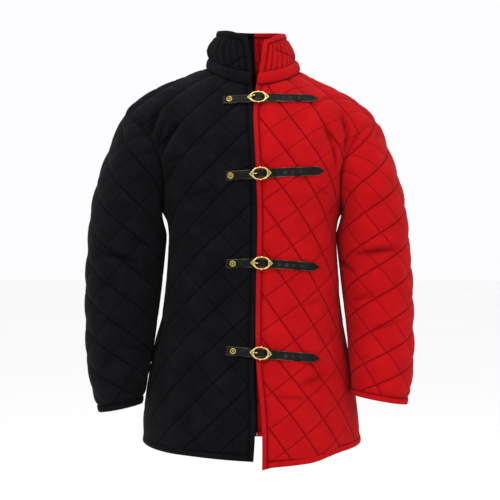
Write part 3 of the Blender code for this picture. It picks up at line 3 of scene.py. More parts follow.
import bpy
import numpy as np
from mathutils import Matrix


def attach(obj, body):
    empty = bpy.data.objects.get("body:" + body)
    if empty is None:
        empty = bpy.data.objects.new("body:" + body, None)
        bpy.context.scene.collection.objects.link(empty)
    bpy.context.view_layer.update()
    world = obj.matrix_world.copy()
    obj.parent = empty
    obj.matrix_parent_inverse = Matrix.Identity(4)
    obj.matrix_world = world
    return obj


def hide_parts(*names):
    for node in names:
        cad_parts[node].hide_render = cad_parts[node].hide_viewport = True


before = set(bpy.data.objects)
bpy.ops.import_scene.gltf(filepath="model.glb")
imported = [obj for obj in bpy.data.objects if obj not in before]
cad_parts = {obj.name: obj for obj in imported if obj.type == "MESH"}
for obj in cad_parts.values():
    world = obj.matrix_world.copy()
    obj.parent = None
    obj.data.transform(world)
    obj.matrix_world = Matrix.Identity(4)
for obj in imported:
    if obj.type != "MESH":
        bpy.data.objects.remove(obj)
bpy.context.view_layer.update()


# ------------------------------------------------------------------ studio
# A pale floor and soft light all round, brighter from high in front, with the camera level with
# the coat's waist and square on to it.

FLOOR_HEIGHT = -0.95
FLOOR_REACH = 30
CAMERA_AWAY = 3.0
CAMERA_X, CAMERA_Z = -0.0038, -0.3213
PICTURE_PIXELS = 500.0
PIXELS_PER_METRE = 529.1        # at the coat's middle
SENSOR_WIDTH = 36.0
LAMP_AIM = (0.0, 0.0, -0.25)


def add_node(tree, kind, inputs=None, **settings):
    """Add a node, set its properties, and give each named input a value or a link."""
    made = tree.nodes.new(kind)
    for name, value in settings.items():
        setattr(made, name, value)
    for name, value in (inputs or {}).items():
        if isinstance(value, bpy.types.NodeSocket):
            tree.links.new(value, made.inputs[name])
        else:
            made.inputs[name].default_value = value
    return made


def linear(hex_colour, alpha=1.0):
    """sRGB hex colour turned to linear: c/12.92 when dark, ((c + 0.055)/1.055)^2.4 when not."""
    parts = [int(hex_colour[k:k + 2], 16) / 255.0 for k in (0, 2, 4)]
    parts = [c / 12.92 if c <= 0.04045 else ((c + 0.055) / 1.055) ** 2.4 for c in parts]
    return (*parts, alpha)


def new_material(name):
    """Empty node material with its Principled shader: material, node tree, shader."""
    made = bpy.data.materials.new(name)
    made.use_nodes = True
    return made, made.node_tree, made.node_tree.nodes["Principled BSDF"]


# Painted studio floor: matt, very pale, with a faint unevenness that keeps it from looking empty.
floor_paint, tree, shader = new_material("matt_floor_paint")
where = add_node(tree, "ShaderNodeTexCoord")
cloud = add_node(tree, "ShaderNodeTexNoise", {"Vector": where.outputs["Object"], "Scale": 0.8})
tone = add_node(tree, "ShaderNodeMix", {"Factor": cloud.outputs["Fac"], 6: linear("F9F9F8"),
                                        7: linear("FDFDFC")}, data_type="RGBA")
tree.links.new(tone.outputs[2], shader.inputs["Base Color"])
shader.inputs["Roughness"].default_value = 0.9

floor_mesh = bpy.data.meshes.new("floor")
floor_mesh.from_pydata([(x * FLOOR_REACH, y * FLOOR_REACH, FLOOR_HEIGHT)
                        for x, y in ((-1, -1), (1, -1), (1, 1), (-1, 1))], [], [(0, 1, 2, 3)])
floor_mesh.materials.append(floor_paint)
floor = bpy.data.objects.new("floor", floor_mesh)
bpy.context.scene.collection.objects.link(floor)

world = bpy.data.worlds.new("studio")
world.use_nodes = True
world.node_tree.nodes["Background"].inputs["Color"].default_value = linear("FDFDFF")
world.node_tree.nodes["Background"].inputs["Strength"].default_value = 1.0
bpy.context.scene.world = world
bpy.context.scene.view_settings.view_transform = "Standard"

# name, place x y z, size, power (W)
SOFT_BOXES = (
    ("key", (-0.9, -1.7, 1.35), 0.9, 17.0),
    ("fill", (1.5, -1.8, 0.8), 1.2, 8.0),
    ("top", (0.0, -0.3, 1.6), 1.0, 7.0),
)
for name, place, size, power in SOFT_BOXES:
    lamp = bpy.data.lights.new(name, "AREA")
    lamp.size = size
    lamp.energy = power
    holder = bpy.data.objects.new(name, lamp)
    holder.location = place
    aim = np.array(LAMP_AIM) - np.array(place)
    yaw = math.atan2(aim[0], -aim[1])
    tilt = math.acos(-aim[2] / np.linalg.norm(aim))
    holder.rotation_euler = (tilt, 0.0, math.pi + yaw)
    bpy.context.scene.collection.objects.link(holder)

lens = bpy.data.cameras.new("camera")
lens.sensor_width = SENSOR_WIDTH
lens.lens = SENSOR_WIDTH * PIXELS_PER_METRE * CAMERA_AWAY / PICTURE_PIXELS
camera = bpy.data.objects.new("camera", lens)
camera.location = (CAMERA_X, -CAMERA_AWAY, CAMERA_Z)
camera.rotation_euler = (math.pi / 2, 0.0, 0.0)
bpy.context.scene.collection.objects.link(camera)
bpy.context.scene.camera = camera


# ------------------------------------------------------------------ fronts and backs
# Four panels of cotton canvas, quilted through the wadding in crossing stitched lines about
# 48 mm apart. The wearer's left half is red and the right half black, and they meet edge to
# edge at the front. The cloth keeps the form of the body that wears it.

WALL = 0.0035            # cloth and wadding, pressed flat at a stitched line
SWELL = 0.0040           # height of a quilted square over its stitched lines
CROSS_LINE_LIFT = 0.40   # share of the swell that is left on the shallower stitched lines
HEM_BAND = 0.0135
EDGE_BAND = 0.0115
SEAM_SINK = 0.0009       # how far a seam pulls the cloth in
SEAM_AIR = 0.0004        # share of a panel's width between it and a seam

NECK_UP = 0.91           # `up` at which the front edge reaches the neckline
ARMPIT_UP = 0.60         # `up` at which the side seam reaches the armpit
CAP_DOWN = 0.40          # `down` at which the sleeve head passes into the sleeve's first ring
UP_LENGTH = 0.755        # metres of cloth to one unit of `up`
HEAD_REACH = 0.38        # how far the sleeve head holds its way at both ends, as a share
SEAM_BACK = 0.004        # on its way up to the armpit the side seam drifts back by this much

# The wearer's right shoulder stands a little higher and wider than the left one: how much, and
# the heights z and the distances out between which the rise and the width set in
SIDES = {"left": 1, "right": -1}
SHOULDER_RISE = {"left": 0.0, "right": 0.012}
SHOULDER_OUT = {"left": 0.0055, "right": 0.012}
SHOULDER_HEIGHTS = (-0.30, -0.08)
RISE_REACH = (0.0, 0.17)
OUT_REACH = (0.12, 0.22)

# The opening lies a little to the wearer's left: at the chest, more at the hem, less at the neck
OPENING_LEAN = 0.0062
LEAN_AT_HEM = 0.0035
LEAN_AT_NECK = -0.0032
LEAN_REACH = 0.15
SWAY_DEPTH = 0.06        # the front's own straying fades out between y 0 and this far forward

# Front edge, hem to neck: up, gape (half the opening between the halves), depth y, height z
FRONT_EDGE = (
    (0.000, 0.0080, -0.158, -0.703),
    (0.150, 0.0045, -0.146, -0.590),
    (0.300, 0.0008, -0.131, -0.477),
    (0.400, 0.0000, -0.125, -0.402),
    (0.500, 0.0000, -0.127, -0.326),
    (0.600, 0.0000, -0.133, -0.251),
    (0.690, 0.0000, -0.135, -0.183),
    (0.786, 0.0000, -0.127, -0.111),
    (0.856, 0.0005, -0.110, -0.058),
    (NECK_UP, 0.0035, -0.088, -0.017),
)

# Middle of the back, hem to neck: up from the back hem, depth y, height z
BACK_MIDDLE = (
    (0.000, 0.142, -0.690),
    (0.150, 0.125, -0.572),
    (0.300, 0.107, -0.455),
    (0.400, 0.100, -0.376),
    (0.500, 0.104, -0.298),
    (0.600, 0.114, -0.219),
    (0.690, 0.121, -0.149),
    (0.786, 0.113, -0.073),
    (0.856, 0.094, -0.018),
    (NECK_UP, 0.066, 0.024),
)

# Neckline, front middle round to back middle: share of the way, x, y, z
NECKLINE = (
    (0.00, 0.0035, -0.088, -0.017),
    (0.25, 0.0500, -0.068, -0.007),
    (0.50, 0.0800, -0.005, 0.014),
    (0.75, 0.0560, 0.046, 0.022),
    (1.00, 0.0000, 0.066, 0.024),
)

# Top edge of the collar, front middle round to back middle: share of the way, x, y, z
COLLAR_TOP = (
    (0.00, 0.0180, -0.077, 0.067),
    (0.25, 0.0460, -0.052, 0.078),
    (0.50, 0.0585, -0.002, 0.087),
    (0.75, 0.0400, 0.040, 0.094),
    (1.00, 0.0000, 0.056, 0.096),
)

# How far each collar half stands out at its side: more at the top edge, and its bulge midway
COLLAR_SPREAD = {"left": (0.0000, 0.0083), "right": (0.0080, 0.0145)}
SPREAD_REACH = (0.024, 0.060)

# The right collar half is wrapped closer at its front corner: how far in, and how far up
COLLAR_CORNER = {"left": (0.0000, 0.0000), "right": (0.0060, 0.0075)}
CORNER_REACH = (0.10, 0.60)

# How far the opening strays from that line as it comes down the front: height z, x
OPENING_SWAY = (
    (-0.720, 0.0000),
    (-0.640, 0.0028),
    (-0.525, -0.0010),
    (-0.400, 0.0005),
    (-0.245, 0.0030),
    (-0.160, -0.0002),
    (-0.060, -0.0042),
    (0.020, 0.0000),
    (0.120, 0.0000),
)

# Side seam, hem to armpit: up, x, z
SIDE_SEAM = (
    (0.00, 0.2035, -0.681),
    (0.10, 0.1970, -0.609),
    (0.20, 0.1860, -0.537),
    (0.30, 0.1725, -0.466),
    (0.40, 0.1630, -0.394),
    (0.50, 0.1575, -0.322),
    (0.55, 0.1565, -0.286),
    (0.58, 0.1610, -0.265),
    (ARMPIT_UP, 0.1700, -0.250),
)

# Where a side of the body swells toward its sleeve: how far, then the heights z between which it
# rises to that and falls again
SIDE_PUSH = {
    "left": (0.0020, -0.405, -0.375, -0.275, -0.255),
    "right": (0.0050, -0.690, -0.630, -0.495, -0.445),
}
PUSH_REACH = (0.05, 0.15)

# How far a front's hem hangs lower than the table says: along it, and more at its front corner
HEM_DROP = {"left": (0.0095, 0.0045), "right": (-0.0020, 0.0000)}
DROP_REACH = (0.10, 0.17)
DROP_DEPTHS = (0.45, 0.70)      # metres below the shoulder between which the drop sets in
CORNER_DROP_REACH = 0.03

# Armhole, armpit up the front to the shoulder tip and down the back: x, y, z
ARMHOLE = (
    ("armpit", 0.170, 0.004, -0.250),
    ("front low", 0.163, -0.048, -0.215),
    ("front middle", 0.166, -0.074, -0.160),
    ("front high", 0.187, -0.068, -0.118),
    ("front top", 0.212, -0.040, -0.090),
    ("shoulder tip", 0.230, 0.004, -0.079),
    ("back top", 0.216, 0.046, -0.089),
    ("back high", 0.194, 0.072, -0.118),
    ("back middle", 0.174, 0.080, -0.160),
    ("back low", 0.165, 0.054, -0.215),
    ("armpit", 0.170, 0.004, -0.250),
)

# What each level of the body cloth bends toward between its two ends:
# up, inner x, inner y, inner z, outer x, outer y, outer z
BODY_PULLS = (
    (0.000, 0.120, -0.160, -0.697, 0.2045, -0.092, -0.686),
    (0.300, 0.100, -0.132, -0.473, 0.1720, -0.078, -0.469),
    (0.500, 0.092, -0.129, -0.325, 0.1560, -0.090, -0.323),
    (0.600, 0.095, -0.136, -0.251, 0.1600, -0.088, -0.252),
    (0.690, 0.090, -0.140, -0.190, 0.1500, -0.105, -0.208),
    (0.786, 0.082, -0.134, -0.120, 0.1380, -0.118, -0.148),
    (0.856, 0.070, -0.118, -0.070, 0.1420, -0.098, -0.098),
    (0.925, 0.078, -0.088, -0.028, 0.1600, -0.066, -0.058),
    (1.000, 0.128, -0.002, -0.004, 0.2000, 0.003, -0.036),
    (1.075, 0.075, 0.062, 0.004, 0.1620, 0.058, -0.048),
    (1.144, 0.075, 0.104, -0.035, 0.1500, 0.098, -0.085),
    (1.214, 0.085, 0.122, -0.082, 0.1450, 0.120, -0.135),
    (1.310, 0.092, 0.127, -0.165, 0.1520, 0.108, -0.205),
    (1.400, 0.095, 0.120, -0.230, 0.1600, 0.082, -0.248),
    (1.500, 0.092, 0.108, -0.305, 0.1570, 0.072, -0.320),
    (1.700, 0.100, 0.110, -0.458, 0.1720, 0.074, -0.466),
    (2.000, 0.120, 0.142, -0.688, 0.2045, 0.088, -0.684),
)

# Way the sleeve leaves the armhole: share of the way round, x, y, z
SLEEVE_START = (
    (0.000, 0.35, 0.00, -0.93),
    (0.120, 0.55, -0.50, -0.67),
    (0.250, 0.70, -0.45, -0.55),
    (0.380, 0.55, -0.30, -0.78),
    (0.500, 0.40, 0.00, -0.92),
    (0.620, 0.55, 0.30, -0.78),
    (0.750, 0.70, 0.45, -0.55),
    (0.880, 0.55, 0.50, -0.67),
    (1.000, 0.35, 0.00, -0.93),
)

# Sleeve rings, sleeve head to cuff edge:
# down, centre x, centre y, centre z, half width, half depth, slope down to the outside
SLEEVE_RINGS = {
    "left": (
        (CAP_DOWN, 0.2267, -0.004, -0.300, 0.0673, 0.080, 0.00),
        (0.580, 0.2353, -0.012, -0.400, 0.0652, 0.073, 0.02),
        (0.720, 0.2391, -0.024, -0.4725, 0.0614, 0.068, 0.08),
        (0.840, 0.2398, -0.040, -0.529, 0.0587, 0.062, 0.13),
        (0.930, 0.2385, -0.054, -0.567, 0.0540, 0.055, 0.16),
        (1.000, 0.2350, -0.065, -0.597, 0.0502, 0.048, 0.18),
    ),
    "right": (
        (CAP_DOWN, 0.2343, -0.003, -0.300, 0.0727, 0.083, 0.00),
        (0.580, 0.2418, -0.007, -0.400, 0.0702, 0.076, 0.02),
        (0.710, 0.2455, -0.012, -0.4725, 0.0650, 0.070, 0.08),
        (0.820, 0.2480, -0.018, -0.529, 0.0590, 0.064, 0.13),
        (0.910, 0.2475, -0.024, -0.575, 0.0498, 0.057, 0.17),
        (1.000, 0.2460, -0.030, -0.6155, 0.0395, 0.051, 0.20),
    ),
}


def smoothstep(value, low, high):
    """0 below low, 1 above high, and smooth between them."""
    share = np.clip((value - low) / (high - low), 0.0, 1.0)
    return share * share * (3.0 - 2.0 * share)


def unit(vectors):
    """Vectors of the same ways with length 1."""
    return vectors / np.linalg.norm(vectors, axis=-1, keepdims=True)


def columns(table, first=0):
    """The numbers of a table's rows from column `first` on."""
    return np.array([row[first:] for row in table], dtype=float)


def curve_through(knots, values, at):
    """Smooth curve that passes through values at knots, read at `at`."""
    at = np.asarray(at, dtype=float)
    slopes = np.gradient(values, knots, axis=0)
    cell = np.clip(np.searchsorted(knots, at, side="right") - 1, 0, len(knots) - 2)
    span = knots[cell + 1] - knots[cell]
    s = ((at - knots[cell]) / span)[..., None]
    span = span[..., None]
    rise = (1 + 2 * s) * (1 - s) ** 2 * values[cell] + s * s * (3 - 2 * s) * values[cell + 1]
    lean = s * (1 - s) ** 2 * slopes[cell] - s * s * (1 - s) * slopes[cell + 1]
    return rise + span * lean


def read_table(table, at):
    """The columns after the first, as a smooth curve over the first column."""
    numbers = columns(table)
    return curve_through(numbers[:, 0], numbers[:, 1:], at)


def read_round_neck(table, at):
    """A neck table as a smooth curve that runs straight across both middle lines."""
    numbers = columns(table)
    flip = np.array([1.0, -1.0, 1.0, 1.0])
    before = numbers[1] * flip - np.array([2 * numbers[1, 0], 0.0, 0.0, 0.0])
    after = numbers[-2] * flip + np.array([2 * (1.0 - numbers[-2, 0]), 0.0, 0.0, 0.0])
    numbers = np.concatenate([[before], numbers, [after]])
    return curve_through(numbers[:, 0], numbers[:, 1:], at)


def armhole_curve(share):
    """Point of the armhole: 0 at the armpit, 0.5 at the shoulder tip, 1 at the armpit again."""
    points = columns(ARMHOLE, first=1)
    steps = np.linalg.norm(np.diff(points, axis=0), axis=1)
    tip = len(points) // 2
    front = 0.5 * np.cumsum(steps[:tip]) / steps[:tip].sum()
    back = 0.5 + 0.5 * np.cumsum(steps[tip:]) / steps[tip:].sum()
    knots = np.concatenate(([0.0], front, back))
    return curve_through(knots, points, share)


def side_curve(up):
    """Point of the side seam at `up`, measured from the hem."""
    x, z = np.moveaxis(read_table(SIDE_SEAM, up), -1, 0)
    return np.stack([x, SEAM_BACK * smoothstep(up, 0.45, ARMPIT_UP), z], axis=-1)


def inner_curve(up):
    """Middle line of the body cloth: front edge, neckline, then the middle of the back."""
    front = read_table(FRONT_EDGE, np.clip(up, 0.0, NECK_UP))
    front[..., 0] = np.maximum(front[..., 0], 0.0)
    neck = read_round_neck(NECKLINE, np.clip((up - NECK_UP) / (2 - 2 * NECK_UP), 0.0, 1.0))
    back = read_table(BACK_MIDDLE, np.clip(2.0 - up, 0.0, NECK_UP))
    back = np.concatenate([np.zeros_like(back[..., :1]), back], axis=-1)
    on_front = (up < NECK_UP)[..., None]
    on_back = (up > 2.0 - NECK_UP)[..., None]
    return np.where(on_front, front, np.where(on_back, back, neck))


def outer_curve(up):
    """Outer line of the body cloth: side seam, armhole, then the side seam down the back."""
    from_hem = np.minimum(up, 2.0 - up)
    side = side_curve(np.clip(from_hem, 0.0, ARMPIT_UP))
    hole = armhole_curve(np.clip((up - ARMPIT_UP) / (2 - 2 * ARMPIT_UP), 0.0, 1.0))
    return np.where((from_hem < ARMPIT_UP)[..., None], side, hole)


def settle(side, points):
    """Turn a point of the even half coat into its place on one side of the worn coat."""
    x, y, z = np.moveaxis(points, -1, 0)
    at_shoulder = smoothstep(z, *SHOULDER_HEIGHTS)
    rise = SHOULDER_RISE[side] * at_shoulder * smoothstep(x, *RISE_REACH)
    out = SHOULDER_OUT[side] * at_shoulder * smoothstep(x, *OUT_REACH)
    middle = OPENING_LEAN + LEAN_AT_HEM * smoothstep(-z, 0.50, 0.70)
    middle = middle + LEAN_AT_NECK * smoothstep(z, -0.02, 0.07)
    lowest, highest = OPENING_SWAY[0][0], OPENING_SWAY[-1][0]
    sway = read_table(OPENING_SWAY, np.clip(z, lowest, highest))[..., 0]
    middle = middle + sway * smoothstep(-y, 0.0, SWAY_DEPTH)
    lean = middle * (1.0 - smoothstep(x, 0.0, LEAN_REACH))
    return np.stack([SIDES[side] * (x + out) + lean, y, z + rise], axis=-1)


def body_surface(side, across, up):
    """Point of the body cloth's stitched level.

    Each level is a cubic curve in `across` from the inner line, drawn by the level's two pulls,
    to the outer line: (1-a)^3 P0 + 3a(1-a)^2 P1 + 3a^2(1-a) P2 + a^3 P3. After it come the
    side's swelling and the hem's drop.
    """
    across, up = np.broadcast_arrays(np.asarray(across, float), np.asarray(up, float))
    pulls = read_table(BODY_PULLS, up)
    a = across[..., None]
    start = (1 - a) ** 3 * inner_curve(up) + 3 * a * (1 - a) ** 2 * pulls[..., :3]
    end = 3 * a * a * (1 - a) * pulls[..., 3:] + a ** 3 * outer_curve(up)
    points = start + end
    out, foot, low, high, head = SIDE_PUSH[side]
    z = points[..., 2].copy()
    out = out * smoothstep(z, foot, low) * (1.0 - smoothstep(z, high, head))
    x = points[..., 0].copy()
    points[..., 0] += out * smoothstep(x, *PUSH_REACH)
    drop, corner = HEM_DROP[side]
    drop = drop * (1.0 - smoothstep(x, *DROP_REACH))
    drop = drop + corner * (1.0 - smoothstep(x, 0.0, CORNER_DROP_REACH))
    points[..., 2] -= np.where(up < 1.0, drop, 0.0) * smoothstep(-z, *DROP_DEPTHS)
    return settle(side, points)


def sleeve_ring(side, round_, down):
    """Point of the sleeve's ring at `down`, from the sleeve head's first ring to the cuff."""
    ring = read_table(SLEEVE_RINGS[side], down)
    cx, cy, cz, wide, deep, slope = np.moveaxis(ring, -1, 0)
    angle = 2 * math.pi * round_
    x = -wide * np.cos(angle)
    y = -deep * np.sin(angle)
    return np.stack([cx + x, cy + y, cz - slope * x], axis=-1)


def sleeve_surface(side, round_, down):
    """Point of the sleeve's stitched level: a bent head from the armhole, then rings."""
    round_, down = np.broadcast_arrays(np.asarray(round_, float), np.asarray(down, float))
    hole = armhole_curve(round_)
    first = sleeve_ring(side, round_, np.full_like(down, CAP_DOWN))
    below = sleeve_ring(side, round_, np.full_like(down, CAP_DOWN + 0.02))
    heading = below - first
    heading /= np.linalg.norm(heading, axis=-1, keepdims=True)
    start = read_table(SLEEVE_START, round_)
    reach = HEAD_REACH * np.linalg.norm(first - hole, axis=-1, keepdims=True)
    s = np.clip(down / CAP_DOWN, 0.0, 1.0)[..., None]
    head = (1 - s) ** 3 * hole + 3 * s * (1 - s) ** 2 * (hole + reach * start)
    head = head + 3 * s * s * (1 - s) * (first - reach * heading) + s ** 3 * first
    rings = sleeve_ring(side, round_, np.maximum(down, CAP_DOWN))
    return settle(side, np.where((down < CAP_DOWN)[..., None], head, rings))


def collar_surface(side, round_, rise):
    """Point of the collar's stitched level: straight lines from the neckline, `rise` 0, to the
    top edge, `rise` 1, spread at the sides by a square and the square of a sine of `rise`."""
    round_, rise = np.broadcast_arrays(np.asarray(round_, float), np.asarray(rise, float))
    foot = read_round_neck(NECKLINE, round_)
    top = read_round_neck(COLLAR_TOP, round_)
    share = rise[..., None]
    points = foot + share * (top - foot)
    lean, bulge = COLLAR_SPREAD[side]
    spread = lean * rise ** 2 + bulge * np.sin(math.pi * rise) ** 2
    points[..., 0] += spread * smoothstep(points[..., 0], *SPREAD_REACH)
    reach, lift = COLLAR_CORNER[side]
    near = 1.0 - smoothstep(round_, *CORNER_REACH)
    points[..., 0] -= reach * near * rise * (2.0 - rise)
    points[..., 2] += lift * near * rise
    return settle(side, points)


# Stitched lines of each panel in its pattern, the deep set and then the cross set: slope
# (degrees, counted from pattern x toward pattern y), spacing and shift across the lines
QUILTING = {
    "front_left": ((-54.5, 0.0469, 0.0062), (35.0, 0.0486, 0.0028)),
    "front_right": ((-43.5, 0.0487, 0.0065), (48.0, 0.0471, 0.0378)),
    "back_left": ((-52.0, 0.0475, 0.0000), (38.0, 0.0485, 0.0100)),
    "back_right": ((-45.0, 0.0485, 0.0100), (46.0, 0.0475, 0.0000)),
    "sleeve_left": ((34.0, 0.0477, 0.0307), (-45.0, 0.0490, 0.0000)),
    "sleeve_right": ((40.0, 0.0497, 0.0389), (-45.0, 0.0490, 0.0100)),
}

# Largest folds of each piece, in its pattern:
# start x, start y, end x, end y, half width, rise (below 0 it is a trough)
FOLDS = {
    "front_left": (
        (0.128, 0.640, 0.153, 0.570, 0.010, -0.0055),
        (0.161, 0.655, 0.182, 0.600, 0.009, -0.0045),
        (0.078, 0.152, 0.132, 0.168, 0.010, -0.0025),
        (0.150, 0.500, 0.178, 0.430, 0.014, -0.0035),
        (0.196, 0.300, 0.214, 0.190, 0.016, -0.0030),
    ),
    "front_right": (
        (0.138, 0.622, 0.181, 0.559, 0.010, -0.0055),
        (0.177, 0.645, 0.195, 0.590, 0.009, -0.0040),
        (0.084, 0.492, 0.124, 0.485, 0.009, -0.0025),
        (0.158, 0.500, 0.186, 0.430, 0.014, -0.0035),
        (0.205, 0.290, 0.222, 0.180, 0.016, -0.0030),
    ),
    "back_left": (
        (0.130, 0.645, 0.160, 0.572, 0.011, -0.0050),
        (0.070, 0.405, 0.150, 0.425, 0.013, -0.0035),
        (0.090, 0.365, 0.175, 0.350, 0.012, -0.0030),
    ),
    "back_right": (
        (0.140, 0.640, 0.175, 0.565, 0.011, -0.0050),
        (0.060, 0.415, 0.145, 0.400, 0.013, -0.0035),
        (0.100, 0.350, 0.190, 0.368, 0.012, -0.0030),
    ),
    "sleeve_left": (
        (-0.150, 0.262, -0.070, 0.288, 0.010, -0.0055),
        (-0.176, 0.232, -0.110, 0.248, 0.009, -0.0030),
        (-0.165, 0.182, -0.095, 0.203, 0.011, -0.0035),
        (-0.170, 0.120, -0.085, 0.102, 0.012, -0.0025),
        (0.060, 0.330, 0.130, 0.345, 0.013, -0.0025),
    ),
    "sleeve_right": (
        (-0.160, 0.268, -0.075, 0.294, 0.011, -0.0055),
        (-0.150, 0.236, -0.085, 0.226, 0.010, -0.0030),
        (-0.152, 0.143, -0.064, 0.171, 0.011, -0.0035),
        (-0.140, 0.098, -0.080, 0.084, 0.011, -0.0025),
        (0.070, 0.340, 0.140, 0.325, 0.013, -0.0025),
    ),
}


def quilt_lines(name, flat):
    """Places and runs of a panel's two sets of stitched lines at its pattern points.

    A place is the distance across the lines over their spacing, so it is a whole number on
    a line; a run is the distance along them in metres.
    """
    places, runs = [], []
    for slope, spacing, shift in QUILTING[name]:
        angle = math.radians(slope)
        x, y = flat[..., 0], flat[..., 1]
        places.append((-math.sin(angle) * x + math.cos(angle) * y - shift) / spacing)
        runs.append(math.cos(angle) * x + math.sin(angle) * y)
    return np.stack(places, axis=-1), np.stack(runs, axis=-1)


SUNK_WANDER = 0.45       # share by which the fading of the cross lines comes and goes
SUNK_CHEST = 0.80        # and the share on the chest, where the cloth is drawn flat
SUNK_MOST = 0.8          # part of a cross line's depth that is lost where the share is 1
CHEST_FROM = (0.47, 0.55)       # metres over the hem between which the chest sets in
CHEST_TO = (0.66, 0.70)         # and ends


def sunk_share(name, flat):
    """Share, 0 to 1, by which the cross lines fade into the wadding: two slow waves multiplied,
    and most of the way on the chest."""
    x, y = flat[..., 0], flat[..., 1]
    wander = 0.5 + 0.5 * np.sin(x / 0.031 + 1.7) * np.sin(y / 0.043 + 0.6)
    if name.startswith("sleeve"):
        return 0.10 + SUNK_WANDER * wander
    chest = SUNK_CHEST * smoothstep(y, *CHEST_FROM) * smoothstep(-y, -CHEST_TO[1], -CHEST_TO[0])
    return np.maximum(0.05 + SUNK_WANDER * wander, chest)


PILLOW_POWER = 2.6       # 2 would round a square's whole top, more leaves its middle flatter
QUILT_EDGE = 0.012       # the swell grows over this width from a piece's edge
SEAM_HALF = 0.0028       # half the width over which a seam sinks the cloth
PLAIN_SWELL, UNEVEN_SWELL = 0.80, 0.24  # least share of the swell, and what a square may add
PUCKERS = (0.00050, 0.00032)    # height of the puckers along the deep and the cross lines
PUCKER_FADE = 7.0               # they shrink to a third over 1/7 of a square's width
PUCKER_WAVE, PUCKER_SWELL = 0.0019, 0.0083


def pillow(place):
    """Padded stretch between two lines: 1 - (1 - a)^power, with a from 0 on a line to 1 midway."""
    away = np.abs(place - np.round(place)) * 2.0
    return 1.0 - (1.0 - away) ** PILLOW_POWER


def uneven(across, along):
    """A steady number from 0 to 1 for each square: the fraction of a fast sine of its numbers."""
    mixed = np.sin(12.9898 * np.floor(across) + 78.233 * np.floor(along)) * 43758.5453
    return mixed - np.floor(mixed)


def quilt_height(name, flat, from_edge):
    """Height of the quilted cloth: both sets' pillows multiplied, the cross set held up by its
    lift, uneven from square to square, with small puckers that fade away from each line."""
    places, runs = quilt_lines(name, flat)
    deep, cross = places[..., 0], places[..., 1]
    shallow = (1.0 - CROSS_LINE_LIFT) * (1.0 - SUNK_MOST * sunk_share(name, flat))
    lifted = 1.0 - shallow * (1.0 - pillow(cross))
    square = PLAIN_SWELL + UNEVEN_SWELL * uneven(deep, cross)
    swell = SWELL * square * pillow(deep) * lifted
    pucker = np.zeros_like(swell)
    for k, size in enumerate(PUCKERS):
        line = np.round(places[..., k])
        near = np.exp(-np.abs(places[..., k] - line) * PUCKER_FADE)
        wave = np.sin(runs[..., k] / PUCKER_WAVE + 2.1 * line)
        slow = 0.6 + 0.4 * np.sin(runs[..., k] / PUCKER_SWELL + 1.3 * line)
        pucker += size * near * wave * slow
    seam = SEAM_SINK * np.exp(-(from_edge / SEAM_HALF) ** 2)
    return (swell + pucker) * smoothstep(from_edge, 0.0, QUILT_EDGE) - seam


# Finer creases of each panel, as FOLDS, each a sharp trough with a soft lip on its left
CREASES = {
    "front_left": (
        (0.162, 0.656, 0.179, 0.615, 0.0050, -0.0046),
        (0.179, 0.622, 0.178, 0.576, 0.0050, -0.0050),
        (0.136, 0.628, 0.152, 0.590, 0.0045, -0.0040),
        (0.151, 0.594, 0.160, 0.550, 0.0045, -0.0044),
        (0.112, 0.671, 0.152, 0.712, 0.0045, -0.0016),
        (0.118, 0.512, 0.144, 0.497, 0.0038, -0.0020),
        (0.030, 0.129, 0.085, 0.126, 0.0045, -0.0022),
        (0.078, 0.150, 0.135, 0.169, 0.0050, -0.0026),
        (0.083, 0.294, 0.123, 0.304, 0.0045, -0.0016),
    ),
    "front_right": (
        (0.176, 0.652, 0.190, 0.617, 0.0048, -0.0044),
        (0.190, 0.621, 0.197, 0.590, 0.0048, -0.0044),
        (0.167, 0.618, 0.182, 0.578, 0.0045, -0.0044),
        (0.137, 0.621, 0.159, 0.594, 0.0045, -0.0040),
        (0.157, 0.598, 0.183, 0.557, 0.0045, -0.0044),
        (0.126, 0.481, 0.080, 0.493, 0.0042, -0.0028),
        (0.179, 0.540, 0.140, 0.552, 0.0045, -0.0018),
        (0.184, 0.289, 0.134, 0.282, 0.0050, -0.0018),
    ),
    "back_left": (
        (0.150, 0.655, 0.172, 0.600, 0.0050, -0.0040),
        (0.072, 0.418, 0.140, 0.432, 0.0050, -0.0024),
        (0.110, 0.380, 0.178, 0.366, 0.0050, -0.0022),
    ),
    "back_right": (
        (0.158, 0.652, 0.184, 0.596, 0.0050, -0.0040),
        (0.066, 0.428, 0.138, 0.414, 0.0050, -0.0024),
        (0.118, 0.364, 0.186, 0.384, 0.0050, -0.0022),
    ),
    "sleeve_left": (
        (-0.156, 0.267, -0.072, 0.287, 0.0055, -0.0050),
        (-0.210, 0.256, -0.164, 0.233, 0.0050, -0.0040),
        (-0.100, 0.503, -0.056, 0.527, 0.0045, -0.0026),
        (-0.060, 0.500, -0.030, 0.520, 0.0045, -0.0022),
        (-0.168, 0.180, -0.124, 0.192, 0.0048, -0.0026),
        (-0.124, 0.126, -0.066, 0.154, 0.0048, -0.0022),
        (-0.152, 0.067, -0.117, 0.080, 0.0045, -0.0018),
        (0.070, 0.300, 0.140, 0.318, 0.0055, -0.0030),
        (0.100, 0.210, 0.160, 0.196, 0.0050, -0.0022),
    ),
    "sleeve_right": (
        (-0.078, 0.294, -0.146, 0.271, 0.0055, -0.0048),
        (-0.129, 0.320, -0.176, 0.297, 0.0050, -0.0036),
        (-0.064, 0.171, -0.120, 0.152, 0.0048, -0.0026),
        (-0.077, 0.548, -0.113, 0.522, 0.0045, -0.0026),
        (-0.045, 0.530, -0.070, 0.505, 0.0045, -0.0020),
        (-0.104, 0.119, -0.162, 0.101, 0.0048, -0.0020),
        (0.080, 0.312, 0.150, 0.296, 0.0055, -0.0030),
        (0.096, 0.196, 0.158, 0.214, 0.0050, -0.0022),
    ),
}


